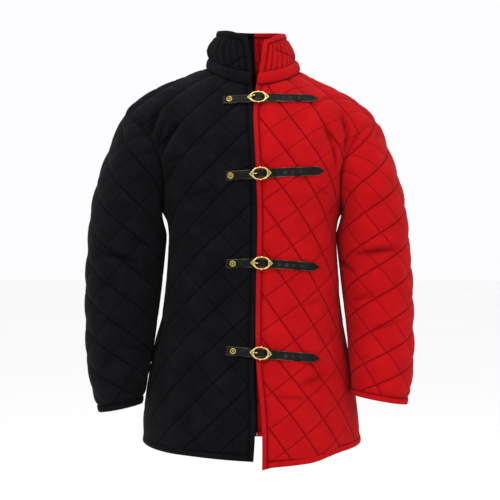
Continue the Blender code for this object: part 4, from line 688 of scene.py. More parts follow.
FOLD_EDGE = (0.001, 0.014)      # folds set in between these distances from a piece's edge
CREASE_POWER = 1.4
DEEP_CREASE = 0.0050            # a crease this deep or more gets the darkest painted shade


def fold_height(name, flat, from_edge):
    """Height of a panel's folds and how much each point lies in a crease, 0 to 1, which the canvas
    paints as shade.

    A fold is a bell across its line, lower toward its two ends. A crease falls off as the
    exponential of its distance to the power 1.4, with a lip two half widths to the left.
    """
    total, creased = np.zeros(flat.shape[:-1]), np.zeros(flat.shape[:-1])
    for rows, sharp in ((FOLDS[name], False), (CREASES[name], True)):
        for x0, y0, x1, y1, half_width, rise in rows:
            start, run = np.array([x0, y0]), np.array([x1 - x0, y1 - y0])
            share = np.clip((flat - start) @ run / (run @ run), 0.0, 1.0)
            off = flat - start - share[..., None] * run
            away = np.linalg.norm(off, axis=-1) / half_width
            ends = 1.0 - 0.6 * (2.0 * share - 1.0) ** 2
            if sharp:
                left = np.sign(run[0] * off[..., 1] - run[1] * off[..., 0]) * away
                lip = 0.5 * np.exp(-(left - 2.0) ** 2)
                total += rise * ends * (np.exp(-away ** CREASE_POWER) - lip)
                creased = np.maximum(creased, ends * np.exp(-(1.3 * away) ** CREASE_POWER)
                                     * np.minimum(-rise / DEEP_CREASE, 1.0))
            else:
                total += rise * ends * np.exp(-away ** 2)
    fade = smoothstep(from_edge, *FOLD_EDGE)
    return total * fade, creased * fade


# Where a sleeve hangs against the body's side: the distances x between which the body and the
# sleeve are pressed, the depths under the shoulder between which that sets in, and how much of
# the room for the swell is left free of it and lost to it
BODY_PRESSED = (0.130, 0.160)
SLEEVE_PRESSED = (-0.215, -0.175)
PRESSED_DEPTHS = (0.19, 0.24)
SWELL_ROOM, SWELL_PRESSED = 1.15, 0.95


def swell_limit(name, points):
    """Room for the swell, smaller where a sleeve lies close to the body's side."""
    x, z = np.abs(points[..., 0]), points[..., 2]
    if name.startswith("sleeve"):
        close = smoothstep(-x, *SLEEVE_PRESSED)
    else:
        close = smoothstep(x, *BODY_PRESSED)
    return SWELL * (SWELL_ROOM - SWELL_PRESSED * close * smoothstep(-z, *PRESSED_DEPTHS))


def running_length(steps, axis):
    """Sum of the steps so far along an axis, starting at 0."""
    pad = [(0, 0)] * steps.ndim
    pad[axis] = (1, 0)
    return np.pad(np.cumsum(steps, axis=axis), pad)


def distance_to_line(flat, line):
    """Least distance from each pattern point to the points of a line, read block by block."""
    least = np.full(flat.shape[:-1], np.inf)
    for block in np.array_split(line, max(1, len(line) // 16)):
        away = np.linalg.norm(flat[:, :, None] - block, axis=-1).min(axis=-1)
        least = np.minimum(least, away)
    return least


def grid_normals(points, outward):
    """Unit normals of a grid: the cross product of its running differences, turned outward."""
    return outward * unit(np.cross(np.gradient(points, axis=0), np.gradient(points, axis=1)))


UP_POINTS, ACROSS_POINTS = 361, 125     # points of a panel's grid
WHOLE_UP_POINTS = 401                   # and of the middle line that its pattern is read from
STRETCH_STEP = 0.01                     # step in `across` over which the cloth's width is read


def body_panel(side, face):
    """Grid of one front or back: points, pattern, normals and distance from the seams.

    The pattern's x is the level length out from the middle line and its y the height climbed
    from the hem. A front starts half a band's width from its edge, where the band covers it.
    """
    up = np.linspace(0.5 * HEM_BAND / UP_LENGTH, 1.0, UP_POINTS)
    level_up = (up if face == "front" else 2.0 - up)[None, :]
    outward = SIDES[side] if face == "front" else -SIDES[side]
    whole_up = np.linspace(0.0, 1.0, WHOLE_UP_POINTS)
    middle = body_surface(side, 0.0, whole_up if face == "front" else 2.0 - whole_up)
    steps = np.diff(middle, axis=0)
    out = running_length(np.where(whole_up[:-1] >= NECK_UP, np.abs(steps[:, 0]), 0.0), 0)
    climb = running_length(np.linalg.norm(steps[:, 1:], axis=1), 0)
    out, climb = np.interp(up, whole_up, out), np.interp(up, whole_up, climb)
    first = body_surface(side, np.array([[0.0], [STRETCH_STEP]]), level_up)
    stretch = np.linalg.norm(first[1] - first[0], axis=-1) / STRETCH_STEP
    cover = 0.5 * EDGE_BAND if face == "front" else 0.0
    start = np.maximum(cover - out, 0.0) / stretch + SEAM_AIR
    share = np.linspace(0.0, 1.0, ACROSS_POINTS)[:, None]
    across = start + (1.0 - SEAM_AIR - start) * share
    points = body_surface(side, across, np.broadcast_to(level_up, across.shape))
    steps = np.diff(points, axis=0)
    level = np.sqrt(np.maximum((steps ** 2).sum(axis=-1) - steps[..., 2] ** 2, 0.0))
    x = out + start * stretch + running_length(level, 0)
    y = climb + running_length(steps[..., 2], 0)
    flat = np.stack([x, y], axis=-1)
    seams = [flat[-1, up >= ARMPIT_UP], flat[:, -1], flat[0, up > NECK_UP + 0.02]]
    from_edge = np.minimum(np.maximum(y - HEM_BAND, 0.0), x[-1:] - x)
    if face == "front":
        from_edge = np.minimum(from_edge, np.maximum(x - EDGE_BAND, 0.0))
    else:
        from_edge = np.minimum(from_edge, x)
    from_edge = np.minimum(from_edge, distance_to_line(flat, np.concatenate(seams)))
    return {"name": face + "_" + side, "points": points, "flat": flat, "from_edge": from_edge,
            "normals": grid_normals(points, outward), "outward": outward, "out": out, "up": up}


def ring_of(count_a, count_b):
    """Numbers of a grid's border points, once round it."""
    number = np.arange(count_a * count_b).reshape(count_a, count_b)
    return np.concatenate([number[:-1, 0], number[-1, :-1], number[:0:-1, -1], number[0, :0:-1]])


def grid_faces(count_a, count_b):
    """The four corners of each face of a grid."""
    number = np.arange(count_a * count_b).reshape(count_a, count_b)
    return np.stack([number[:-1, :-1], number[1:, :-1], number[1:, 1:], number[:-1, 1:]],
                    axis=-1).reshape(-1, 4)


def new_piece(name, vertices, faces, corner_maps, material):
    """Smooth mesh object with UV maps given for every face corner, riding on the coat."""
    mesh = bpy.data.meshes.new(name)
    mesh.from_pydata(vertices.tolist(), [], faces)
    for label, values in corner_maps.items():
        layer = mesh.uv_layers.new(name=label)
        layer.data.foreach_set("uv", np.ascontiguousarray(values, dtype=np.float32).ravel())
    mesh.polygons.foreach_set("use_smooth", np.ones(len(mesh.polygons), dtype=bool))
    mesh.materials.append(material)
    mesh.update()
    made = bpy.data.objects.new(name, mesh)
    bpy.context.scene.collection.objects.link(made)
    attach(made, "root")
    return made


def closed_wall(name, outer, inner, maps, outward, material):
    """Closed wall of cloth: a fine outer grid, an inner grid of every second point, and a rim of
    three faces to each step that joins their borders."""
    count_a, count_b = outer.shape[:2]
    half_a, half_b = inner.shape[:2]
    start = count_a * count_b
    outer_ring = ring_of(count_a, count_b)
    inner_ring = ring_of(half_a, half_b) + start
    even, odd = outer_ring[0::2], outer_ring[1::2]
    after, beside = np.roll(even, -1), np.roll(inner_ring, -1)
    rim = np.concatenate([np.stack([odd, even, inner_ring], axis=-1),
                          np.stack([after, odd, beside], axis=-1),
                          np.stack([odd, inner_ring, beside], axis=-1)])
    quads = np.concatenate([grid_faces(count_a, count_b),
                            grid_faces(half_a, half_b)[:, ::-1] + start])
    if outward < 0:
        quads, rim = quads[:, ::-1], rim[:, ::-1]
    corners = np.concatenate([quads.ravel(), rim.ravel()])
    corner_maps = {}
    for label, values in maps.items():
        values = np.concatenate([values.reshape(-1, 2), values[::2, ::2].reshape(-1, 2)])
        corner_maps[label] = values[corners]
    vertices = np.concatenate([outer.reshape(-1, 3), inner.reshape(-1, 3)])
    return new_piece(name, vertices, quads.tolist() + rim.tolist(), corner_maps, material)


def quilted_wall(panel, material):
    """The quilted wall of a panel, raised along its normals over a plain inside."""
    name, normals = panel["name"], panel["normals"]
    places, runs = quilt_lines(name, panel["flat"])
    fold, creased = fold_height(name, panel["flat"], panel["from_edge"])
    folded = panel["points"] + fold[..., None] * normals
    height = np.minimum(quilt_height(name, panel["flat"], panel["from_edge"]),
                        swell_limit(name, panel["points"]))
    outer = folded + height[..., None] * normals
    inner = (folded - WALL * normals)[::2, ::2]
    # The cross lines' fading, and the crease share that the canvas paints darker as shade.
    wear = np.stack([sunk_share(name, panel["flat"]), creased], axis=-1)
    maps = {"pattern": panel["flat"], "places": places, "runs": runs, "wear": wear}
    made = closed_wall("quilted_" + name, outer, inner, maps, panel["outward"], material)
    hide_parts(name)
    return made


# Cotton canvas, dyed in the piece and quilted with thread of its own colour. The yarns are about
# 0.7 mm apart, the fuzz on them gives a soft sheen, and each stitched line lies in a groove. The
# grooves and the creases are painted toward a deep tone as painted shade.
YARN = 0.0007
STITCH = 0.0034          # one stitch and the gap after it
STITCH_SHARE = 0.76      # share of it that the thread covers
LINE_SPACING = 0.048
RIB_SPACING = 0.012
THREAD_HALF = 0.0005
GROOVE_HALF = 0.0026
DYE_CLOUDS, FLECKS, CRUMPLES = 22.0, 900.0, 120.0       # of each to a metre of cloth
WEAVE_RELIEF = 0.00006
CRUMPLE_RELIEF, THREAD_RELIEF, GROOVE_RELIEF = 0.0007, 0.0003, -0.0007


def canvas(name, spacing, painted_groove_shade, tones, sheen):
    """Canvas whose tone wanders between its dyes, painted darker as shade in the grooves and creases,
    with stitches in the grooves.

    The distance from a stitched line is the place folded back and forth between whole numbers,
    times the spacing. The weave is the product of one sine along each yarn.
    """
    fleck_and_shade_tone, main_tone, light_tone, thread_tone = [linear(tone) for tone in tones]
    made, tree, shader = new_material(name)
    pattern = add_node(tree, "ShaderNodeUVMap", uv_map="pattern").outputs["UV"]
    places = add_node(tree, "ShaderNodeUVMap", uv_map="places").outputs["UV"]
    runs = add_node(tree, "ShaderNodeUVMap", uv_map="runs").outputs["UV"]
    # Its second value is the crease share, painted darker as shade.
    wear = add_node(tree, "ShaderNodeUVMap", uv_map="wear").outputs["UV"]
    place_parts = add_node(tree, "ShaderNodeSeparateXYZ", {"Vector": places})
    run_parts = add_node(tree, "ShaderNodeSeparateXYZ", {"Vector": runs})
    line_fade_and_crease_shade_parts = add_node(tree, "ShaderNodeSeparateXYZ", {"Vector": wear})
    threads, grooves = [], []
    for axis in ("X", "Y"):
        fold = add_node(tree, "ShaderNodeMath", {0: place_parts.outputs[axis], 1: 0.5},
                        operation="PINGPONG").outputs[0]
        away = add_node(tree, "ShaderNodeMath", {0: fold, 1: spacing},
                        operation="MULTIPLY").outputs[0]
        beat = add_node(tree, "ShaderNodeMath", {0: run_parts.outputs[axis], 1: STITCH},
                        operation="DIVIDE").outputs[0]
        beat = add_node(tree, "ShaderNodeMath", {0: beat}, operation="FRACT").outputs[0]
        beat = add_node(tree, "ShaderNodeMath", {0: beat, 1: STITCH_SHARE},
                        operation="LESS_THAN").outputs[0]
        near = add_node(tree, "ShaderNodeMapRange",
                        {"Value": away, "From Min": THREAD_HALF, "From Max": 1.5 * THREAD_HALF,
                         "To Min": 1.0, "To Max": 0.0}).outputs["Result"]
        threads.append(add_node(tree, "ShaderNodeMath", {0: near, 1: beat},
                                operation="MULTIPLY").outputs[0])
        grooves.append(add_node(tree, "ShaderNodeMapRange",
                                {"Value": away, "From Min": 0.0, "From Max": GROOVE_HALF,
                                 "To Min": 1.0, "To Max": 0.0},
                                interpolation_type="SMOOTHSTEP").outputs["Result"])
    kept = add_node(tree, "ShaderNodeMapRange", {"Value": line_fade_and_crease_shade_parts.outputs["X"], "To Min": 0.62,
                                                 "To Max": 0.10}).outputs["Result"]
    grooves[1] = add_node(tree, "ShaderNodeMath", {0: grooves[1], 1: kept},
                          operation="MULTIPLY").outputs[0]
    thread = add_node(tree, "ShaderNodeMath", {0: threads[0], 1: threads[1]},
                      operation="MAXIMUM").outputs[0]
    groove = add_node(tree, "ShaderNodeMath", {0: grooves[0], 1: grooves[1]},
                      operation="MAXIMUM").outputs[0]
    # Mask of the painted shade: the creases and the grooves.
    creased = add_node(tree, "ShaderNodeMath", {0: line_fade_and_crease_shade_parts.outputs["Y"], 1: groove},
                       operation="MAXIMUM").outputs[0]

    cloud = add_node(tree, "ShaderNodeTexNoise", {"Vector": pattern, "Scale": DYE_CLOUDS,
                                                  "Detail": 3.0})
    fleck = add_node(tree, "ShaderNodeTexNoise", {"Vector": pattern, "Scale": FLECKS,
                                                  "Detail": 2.0})
    tone = add_node(tree, "ShaderNodeMapRange", {"Value": cloud.outputs["Fac"], "From Min": 0.35,
                                                 "From Max": 0.68}).outputs["Result"]
    colour = add_node(tree, "ShaderNodeMix", {0: tone, 6: main_tone, 7: light_tone},
                      data_type="RGBA").outputs[2]
    speck = add_node(tree, "ShaderNodeMapRange", {"Value": fleck.outputs["Fac"], "From Min": 0.40,
                                                  "From Max": 0.75, "To Max": 0.45}).outputs["Result"]
    colour = add_node(tree, "ShaderNodeMix", {0: speck, 6: colour, 7: fleck_and_shade_tone},
                      data_type="RGBA").outputs[2]
    # Painted shade: the grooves and the creases are painted toward the deep tone, as the shade that
    # falls in them.
    painted_shade = add_node(tree, "ShaderNodeMath", {0: creased, 1: painted_groove_shade},
                    operation="MULTIPLY").outputs[0]
    colour = add_node(tree, "ShaderNodeMix", {0: painted_shade, 6: colour, 7: fleck_and_shade_tone},
                      data_type="RGBA").outputs[2]
    colour = add_node(tree, "ShaderNodeMix", {0: thread, 6: colour, 7: thread_tone},
                      data_type="RGBA").outputs[2]
    tree.links.new(colour, shader.inputs["Base Color"])

    parts = add_node(tree, "ShaderNodeSeparateXYZ", {"Vector": pattern})
    yarns = []
    for axis in ("X", "Y"):
        turn = add_node(tree, "ShaderNodeMath", {0: parts.outputs[axis], 1: 2 * math.pi / YARN},
                        operation="MULTIPLY").outputs[0]
        yarns.append(add_node(tree, "ShaderNodeMath", {0: turn}, operation="SINE").outputs[0])
    weave = add_node(tree, "ShaderNodeMath", {0: yarns[0], 1: yarns[1]},
                     operation="MULTIPLY").outputs[0]
    relief = add_node(tree, "ShaderNodeMath", {0: weave, 1: WEAVE_RELIEF},
                      operation="MULTIPLY").outputs[0]
    crumple = add_node(tree, "ShaderNodeTexNoise", {"Vector": pattern, "Scale": CRUMPLES,
                                                    "Detail": 4.0}).outputs["Fac"]
    for height, size in ((crumple, CRUMPLE_RELIEF), (thread, THREAD_RELIEF),
                         (groove, GROOVE_RELIEF)):
        relief = add_node(tree, "ShaderNodeMath", {0: height, 1: size, 2: relief},
                          operation="MULTIPLY_ADD").outputs[0]
    bump = add_node(tree, "ShaderNodeBump", {"Strength": 1.0, "Distance": 1.0, "Height": relief})
    tree.links.new(bump.outputs["Normal"], shader.inputs["Normal"])
    shader.inputs["Roughness"].default_value = 0.88
    shader.inputs["Specular IOR Level"].default_value = 0.04
    shader.inputs["Sheen Weight"].default_value = sheen
    shader.inputs["Sheen Roughness"].default_value = 0.45
    return made


# Each side's deep tone (the dye of the flecks, and the painted shade of the grooves and creases),
# main and light dye, thread, and its sheen
DYES = {
    "left": (("520206", "B00D12", "BC1116", "7E060B"), 0.02),
    "right": (("020203", "0D0D0F", "131316", "060607"), 0.02),
}
CANVAS_SLOT = {"left": "red_canvas", "right": "black_canvas"}
# 0.80: how far the grooves and creases are painted toward the deep tone as shade
CANVAS = {side: canvas("quilted_" + CANVAS_SLOT[side], LINE_SPACING, 0.80, *DYES[side])
          for side in SIDES}

panels, walls = {}, {}
for side in SIDES:
    for face in ("front", "back"):
        panel = body_panel(side, face)
        panels[panel["name"]] = panel
        walls[panel["name"]] = quilted_wall(panel, CANVAS[side])


# ------------------------------------------------------------------ sleeves
# One panel of the same quilted canvas each, sewn into a tube along the underarm and set into the
# armhole. Both hang a little bent, and both stay open at the cuff.

CUFF_BAND = 0.0125
SLEEVE_LENGTH = 0.44     # metres of cloth to one unit of `down`
ROUND_POINTS, DOWN_POINTS = 201, 209


def sleeve_panel(side):
    """Grid of one sleeve: pattern x is the girth counted both ways from the outer line, y the
    length counted up from the cuff."""
    round_ = np.linspace(SEAM_AIR, 1.0 - SEAM_AIR, ROUND_POINTS)[:, None]
    down = np.linspace(0.0, 1.0 - 0.5 * CUFF_BAND / SLEEVE_LENGTH, DOWN_POINTS)[None, :]
    points = sleeve_surface(side, round_, down)
    girth = np.linalg.norm(np.diff(points, axis=0), axis=-1).sum(axis=0)[None, :]
    lengths = running_length(np.linalg.norm(np.diff(points, axis=1), axis=-1), 1)
    x = (round_ - 0.5) * girth
    y = lengths[:, -1:] - lengths + 0.5 * CUFF_BAND
    from_edge = np.minimum(np.maximum(y - CUFF_BAND, 0.0), lengths)
    from_edge = np.minimum(from_edge, 0.5 * girth - np.abs(x))
    outward = -SIDES[side]
    return {"name": "sleeve_" + side, "points": points, "flat": np.stack([x, y], axis=-1),
            "normals": grid_normals(points, outward), "from_edge": from_edge,
            "outward": outward}


for side in SIDES:
    panel = sleeve_panel(side)
    panels[panel["name"]] = panel
    walls[panel["name"]] = quilted_wall(panel, CANVAS[side])


# ------------------------------------------------------------------ bands
# Straight strips of the same canvas, folded over the raw edges of the fronts, hems and cuffs and
# sewn through with one row of stitches, so that they stand a little above the cloth.

BAND_STITCH = 0.16       # share of a band's width from its seam to its row of stitches
BAND_CREST = 8           # point of the cut along which the band's length is measured
BAND_FACE = 0.0006       # the points of the cut over this height are the band's face
RIPPLES = ((0.00022, 0.0023), (0.00020, 0.0081))    # height and wave of the face's ripples
NORMAL_STEP = 2e-4       # step of the parameters over which a surface's normals are read

# Cut round a band: share of its width from the seam to the free edge, height over the cloth
BAND_CUT = np.array([
    (0.00, -0.0016), (0.00, 0.0002), (0.03, 0.0009), (0.08, 0.0013), (0.12, 0.0011),
    (BAND_STITCH, 0.0006), (0.20, 0.0011), (0.26, 0.0017), (0.36, 0.0020), (0.52, 0.0021),
    (0.70, 0.0020), (0.86, 0.0018), (0.95, 0.0013), (0.99, 0.0004), (1.00, -0.0008),
    (1.00, -0.0024), (0.97, -0.0037), (0.90, -0.0043), (0.60, -0.0043), (0.30, -0.0043),
    (0.00, -0.0043),
])


def surface_normals(surface, a, b, outward, b_limit):
    """Unit normals of a surface: the cross product of its differences over a small step."""
    low_a, high_a = [np.clip(a + step, 0.0, 1.0) for step in (-NORMAL_STEP, NORMAL_STEP)]
    low_b, high_b = [np.clip(b + step, 0.0, b_limit) for step in (-NORMAL_STEP, NORMAL_STEP)]
    along_a = surface(high_a, b) - surface(low_a, b)
    along_b = surface(a, high_b) - surface(a, low_b)
    return outward * unit(np.cross(along_a, along_b))


def tube_piece(name, points, corner_values, closed, material):
    """Closed tube through a row of rings, with UV values on a grid one ring point wider.

    points is stations by ring points; a closed tube's values have one more station than that.
    """
    stations, around = points.shape[:2]
    spans = stations if closed else stations - 1
    k, j = np.meshgrid(np.arange(spans), np.arange(around), indexing="ij")
    steps = ((0, 0), (1, 0), (1, 1), (0, 1))
    quads = np.stack([((k + dk) % stations) * around + (j + dj) % around
                      for dk, dj in steps], axis=-1).reshape(-1, 4)
    value_of = np.stack([(k + dk) * (around + 1) + j + dj for dk, dj in steps],
                        axis=-1).reshape(-1, 4)
    vertices = points.reshape(-1, 3)
    from_middle = vertices - vertices.mean(axis=0)
    corner = from_middle[quads]
    volume = (np.cross(corner[:, 0], corner[:, 1]) * corner[:, 2]).sum()
    volume += (np.cross(corner[:, 0], corner[:, 2]) * corner[:, 3]).sum()
    flip = volume < 0
    faces, used = quads, value_of
    if flip:
        faces, used = quads[:, ::-1], value_of[:, ::-1]
    faces, used = faces.tolist(), [used.ravel()]
    if not closed:
        ring = np.arange(around)
        first, last = ring[::-1] if not flip else ring, ring if not flip else ring[::-1]
        faces += [first.tolist(), (last + (stations - 1) * around).tolist()]
        used += [first, last + (stations - 1) * (around + 1)]
    used = np.concatenate(used)
    maps = {label: values.reshape(-1, 2)[used] for label, values in corner_values.items()}
    return new_piece(name, vertices, faces, maps, material)


def band_piece(node, surface, outward, b_limit, seam, free, width, side, closed=False):
    """Band between two lines of (a, b) parameters: the cut is carried along them, and rises and
    falls a little with two waves of the length."""
    share, height = BAND_CUT[:, 0], BAND_CUT[:, 1]
    spots = seam[:, None] + share[None, :, None] * (free - seam)[:, None]
    a, b = spots[..., 0], spots[..., 1]
    points = surface(a, b)
    normals = surface_normals(surface, a, b, outward, b_limit)
    middle = points[:, BAND_CREST]
    if closed:
        middle = np.concatenate([middle, middle[:1]])
    along = running_length(np.linalg.norm(np.diff(middle, axis=0), axis=-1), 0)
    count = len(points)
    ripple = sum(size * np.sin(along[:count] / wave) for size, wave in RIPPLES)
    lift = height + np.where(height > BAND_FACE, ripple[:, None], 0.0)
    points = points + lift[..., None] * normals
    across = np.append(share, share[0]) * width
    pattern = np.stack(np.broadcast_arrays(along[:, None], across[None, :]), axis=-1)
    places = np.stack([(pattern[..., 1] - BAND_STITCH * width) / LINE_SPACING,
                       np.full(pattern.shape[:-1], 0.5)], axis=-1)
    maps = {"pattern": pattern, "places": places, "runs": pattern}
    made = tube_piece("band_" + node, points, maps, closed, CANVAS[side])
    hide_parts(node)
    return made


def line_of(a, b):
    """Parameters (a, b) in pairs along a line."""
    return np.stack(np.broadcast_arrays(np.asarray(a, float), np.asarray(b, float)), axis=-1)


EDGE_STEPS = 380
HEM_STEPS = 130
CUFF_STEPS = 200
bands = {name: [] for name in panels}
collar_start = {}
for side in SIDES:
    front = panels["front_" + side]
    corner_up = np.interp(EDGE_BAND, front["out"], front["up"])
    collar_start[side] = (corner_up - NECK_UP) / (2.0 - 2.0 * NECK_UP)

    def half_cloth(a, b, side=side):
        """Point of this side's body cloth."""
        return body_surface(side, a, b)

    def arm_cloth(a, b, side=side):
        """Point of this side's sleeve cloth."""
        return sleeve_surface(side, a, b)

    share = np.linspace(0.0, 1.0, EDGE_STEPS)
    seam_up, free_up = corner_up * share, NECK_UP * share
    width_of = body_surface(side, np.array([[0.0], [STRETCH_STEP]]), seam_up[None, :])
    stretch = np.linalg.norm(width_of[1] - width_of[0], axis=-1) / STRETCH_STEP
    out = np.interp(seam_up, front["up"], front["out"])
    seam = line_of(np.maximum(EDGE_BAND - out, 0.0) / stretch, seam_up)
    free = line_of(0.0, free_up)
    edge = band_piece("front_edge_" + side, half_cloth, SIDES[side], 2.0, seam, free,
                      EDGE_BAND, side)
    bands["front_" + side].append(edge)

    for face in ("front", "back"):
        first = EDGE_BAND / stretch[0] if face == "front" else SEAM_AIR
        across = np.linspace(first, 1.0 - SEAM_AIR, HEM_STEPS)
        hem_up = HEM_BAND / UP_LENGTH
        levels = (hem_up, 0.0) if face == "front" else (2.0 - hem_up, 2.0)
        hem = band_piece("hem_" + face + "_" + side, half_cloth, SIDES[side], 2.0,
                         line_of(across, levels[0]), line_of(across, levels[1]), HEM_BAND, side)
        bands[face + "_" + side].append(hem)

    round_ = np.linspace(0.0, 1.0, CUFF_STEPS + 1)[:-1]
    cuff = band_piece("cuff_" + side, arm_cloth, -SIDES[side], 1.0,
                      line_of(round_, 1.0 - CUFF_BAND / SLEEVE_LENGTH), line_of(round_, 1.0),
                      CUFF_BAND, side, closed=True)
    bands["sleeve_" + side].append(cuff)


# ------------------------------------------------------------------ seams
# At each seam the cloth of both pieces is turned in, rolled together and stitched inside the
# coat: round the armholes, down the sides, along the shoulders and down the middle of the back.

ALLOWANCE_RADIUS = 0.0022
ALLOWANCE_DEPTH = 0.0009
ALLOWANCE_SIDES = 12
ARMHOLE_POINTS, SIDE_POINTS, SHOULDER_POINTS, BACK_POINTS = 160, 90, 40, 110
SIDE_CLEAR = 0.012       # a side seam's roll ends this far in `up` from the hem and the armpit


def seam_piece(name, points, ways, side, closed=False):
    """Seam allowance: a round tube carried along a seam, just inside the cloth."""
    turn = np.linspace(0.0, 2 * math.pi, ALLOWANCE_SIDES + 1)[:-1]
    if closed:
        along = unit(np.roll(points, -1, axis=0) - np.roll(points, 1, axis=0))
    else:
        along = unit(np.gradient(points, axis=0))
    across = unit(np.cross(along, ways))
    middle = points - (ALLOWANCE_RADIUS + ALLOWANCE_DEPTH) * ways
    ring = (np.cos(turn)[None, :, None] * across[:, None]
            + np.sin(turn)[None, :, None] * ways[:, None])
    tube = middle[:, None] + ALLOWANCE_RADIUS * ring
    run = running_length(np.linalg.norm(np.diff(points, axis=0), axis=-1), 0)
    if closed:
        run = np.append(run, 2 * run[-1] - run[-2])
    girth = np.linspace(0.0, 2 * math.pi, ALLOWANCE_SIDES + 1) * ALLOWANCE_RADIUS
    pattern = np.stack(np.broadcast_arrays(run[:, None], girth[None, :]), axis=-1)
    plain = np.full(pattern.shape, 0.5)
    made = tube_piece("seam_" + name, tube,
                      {"pattern": pattern, "places": plain, "runs": pattern}, closed, CANVAS[side])
    return made


for side in SIDES:
    level = np.linspace(ARMPIT_UP, 2.0 - ARMPIT_UP, ARMHOLE_POINTS + 1)[:-1]
    from_hem = np.linspace(SIDE_CLEAR, ARMPIT_UP - SIDE_CLEAR, SIDE_POINTS)
    from_neck = np.linspace(0.03, 0.99, SHOULDER_POINTS)
    lines = {
        "armhole": (np.ones_like(level), level, True),
        "side": (np.ones_like(from_hem), from_hem, False),
        "shoulder": (from_neck, np.ones_like(from_neck), False),
    }
    for label, (a, b, closed) in lines.items():
        spots = body_surface(side, a, b)
        ways = surface_normals(lambda p, q: body_surface(side, p, q), a, b, SIDES[side], 2.0)
        if label == "armhole":
            turn = (level - ARMPIT_UP) / (2.0 - 2.0 * ARMPIT_UP)
            ways = unit(ways + surface_normals(lambda p, q: sleeve_surface(side, p, q), turn,
                                               np.full_like(turn, 0.002), -SIDES[side], 1.0))
        made = seam_piece(label + "_" + side, spots, ways, side, closed)
        bands["back_" + side].append(made)

middle_up = np.linspace(2.0 - NECK_UP + 0.004, 1.99, BACK_POINTS)
middle = body_surface("left", np.zeros_like(middle_up), middle_up)
ways = np.stack([np.zeros_like(middle_up), np.gradient(middle[:, 2]),
                 -np.gradient(middle[:, 1])], axis=-1)
ways = unit(ways * np.sign(ways[:, 1:2]))
bands["back_right"].append(seam_piece("middle_back", middle, ways, "right"))

# Each panel is cut to its pattern. Here the steps of its pattern grid are read both ways.
for name, panel in panels.items():
    flat = panel["flat"]
    a, b = np.diff(flat, axis=0)[:, :-1], np.diff(flat, axis=1)[:-1]


# ------------------------------------------------------------------ collar
# A standing collar in two halves, wadded in narrow upright ribs and crossed by a few slanting
# rows of stitches, with a binding up its front edge and along its top.

COLLAR_RIBS = 16
COLLAR_BAND_RISE = 0.86         # `rise` at which the collar meets the binding on its top edge
COLLAR_RISE = 0.93              # `rise` at which the cloth ends under that binding
COLLAR_SLANT = 0.3              # its front edge leans back by this share as it rises
COLLAR_BACK = 0.9997            # share of the way round at which a half meets the other behind
RIB_HEIGHT = 0.0022
RIB_FOOT, RIB_HEAD = (0.20, 0.34), (0.78, 0.87)     # `rise` where ribs set in and where they end
RIB_POINTS, RISE_POINTS = 12, 97        # grid points to a rib, and up the collar
COLLAR_LENGTH, COLLAR_TALL = 0.19, 0.087
ROW_DEPTH, ROW_HALF = 0.0022, 0.0024    # groove of a slanting row

# Slanting rows on each half: share of the way round and rise, at both ends
COLLAR_ROWS = {
    "left": ((0.17, 0.71, 0.52, 0.25), (0.60, 0.30, 0.88, 0.70)),
    "right": ((0.24, 0.21, 0.05, 0.60), (0.30, 0.13, 0.52, 0.24), (0.62, 0.68, 0.90, 0.32)),
}
# 0.62: how far the grooves between the ribs and along the rows are painted toward the deep tone as
#       shade
RIBBED_CANVAS = {side: canvas("ribbed_" + CANVAS_SLOT[side], RIB_SPACING, 0.62, *DYES[side])
                 for side in SIDES}


def collar_piece(side):
    """Collar half: ribs shaped as the size of a sine round the neck, less each row's groove.

    A rib's height is |sin(pi n)|^0.75 at n ribs from the front, a little different from rib to
    rib and up each one. A row's groove is a bell across it.
    """
    share = np.linspace(0.0, 1.0, RIB_POINTS * COLLAR_RIBS + 1)[:, None]
    rise = np.linspace(0.0, COLLAR_RISE, RISE_POINTS)[None, :]
    start = collar_start[side] * (1.0 + COLLAR_SLANT * rise)
    ribs_from = start + (1.0 - start) * share
    round_ = 0.5 * start + (COLLAR_BACK - 0.5 * start) * share
    points = collar_surface(side, round_, rise)
    normals = grid_normals(points, SIDES[side])
    rib_place = COLLAR_RIBS * (round_ - start) / (1.0 - start)
    ribbed = smoothstep(rise, *RIB_FOOT) * (1.0 - smoothstep(rise, *RIB_HEAD))
    ribbed = ribbed * smoothstep(ribs_from - start, 0.0, 0.03)
    flat = np.stack(np.broadcast_arrays(COLLAR_LENGTH * round_, COLLAR_TALL * rise), axis=-1)
    rib = np.abs(np.sin(math.pi * rib_place)) ** 0.75
    vary = 0.80 + 0.30 * np.sin(2.4 * np.floor(rib_place))
    vary = vary + 0.12 * np.sin(31.0 * rise + 5.0 * rib_place)
    height = RIB_HEIGHT * rib * ribbed * vary
    nearest = np.full(flat.shape[:-1], 1.0)
    along_row = np.zeros(flat.shape[:-1])
    for r0, h0, r1, h1 in COLLAR_ROWS[side]:
        first = np.array([COLLAR_LENGTH * r0, COLLAR_TALL * h0])
        run = np.array([COLLAR_LENGTH * r1, COLLAR_TALL * h1]) - first
        at = np.clip((flat - first) @ run / (run @ run), 0.0, 1.0)
        away = np.linalg.norm(flat - first - at[..., None] * run, axis=-1)
        along_row = np.where(away < nearest, at * np.linalg.norm(run), along_row)
        nearest = np.minimum(nearest, away)
    height = height - ROW_DEPTH * np.exp(-(nearest / ROW_HALF) ** 2) * ribbed
    outer = points + height[..., None] * normals
    inner = (points - WALL * normals)[::2, ::2]
    places = np.stack([np.where(ribbed > 0.02, rib_place, 0.5),
                       np.minimum(nearest / RIB_SPACING, 0.5)], axis=-1)
    runs = np.stack([flat[..., 1], along_row], axis=-1)
    made = closed_wall("ribbed_collar_" + side, outer, inner,
                       {"pattern": flat, "places": places, "runs": runs}, SIDES[side],
                       RIBBED_CANVAS[side])
    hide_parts("collar_" + side)
    return made


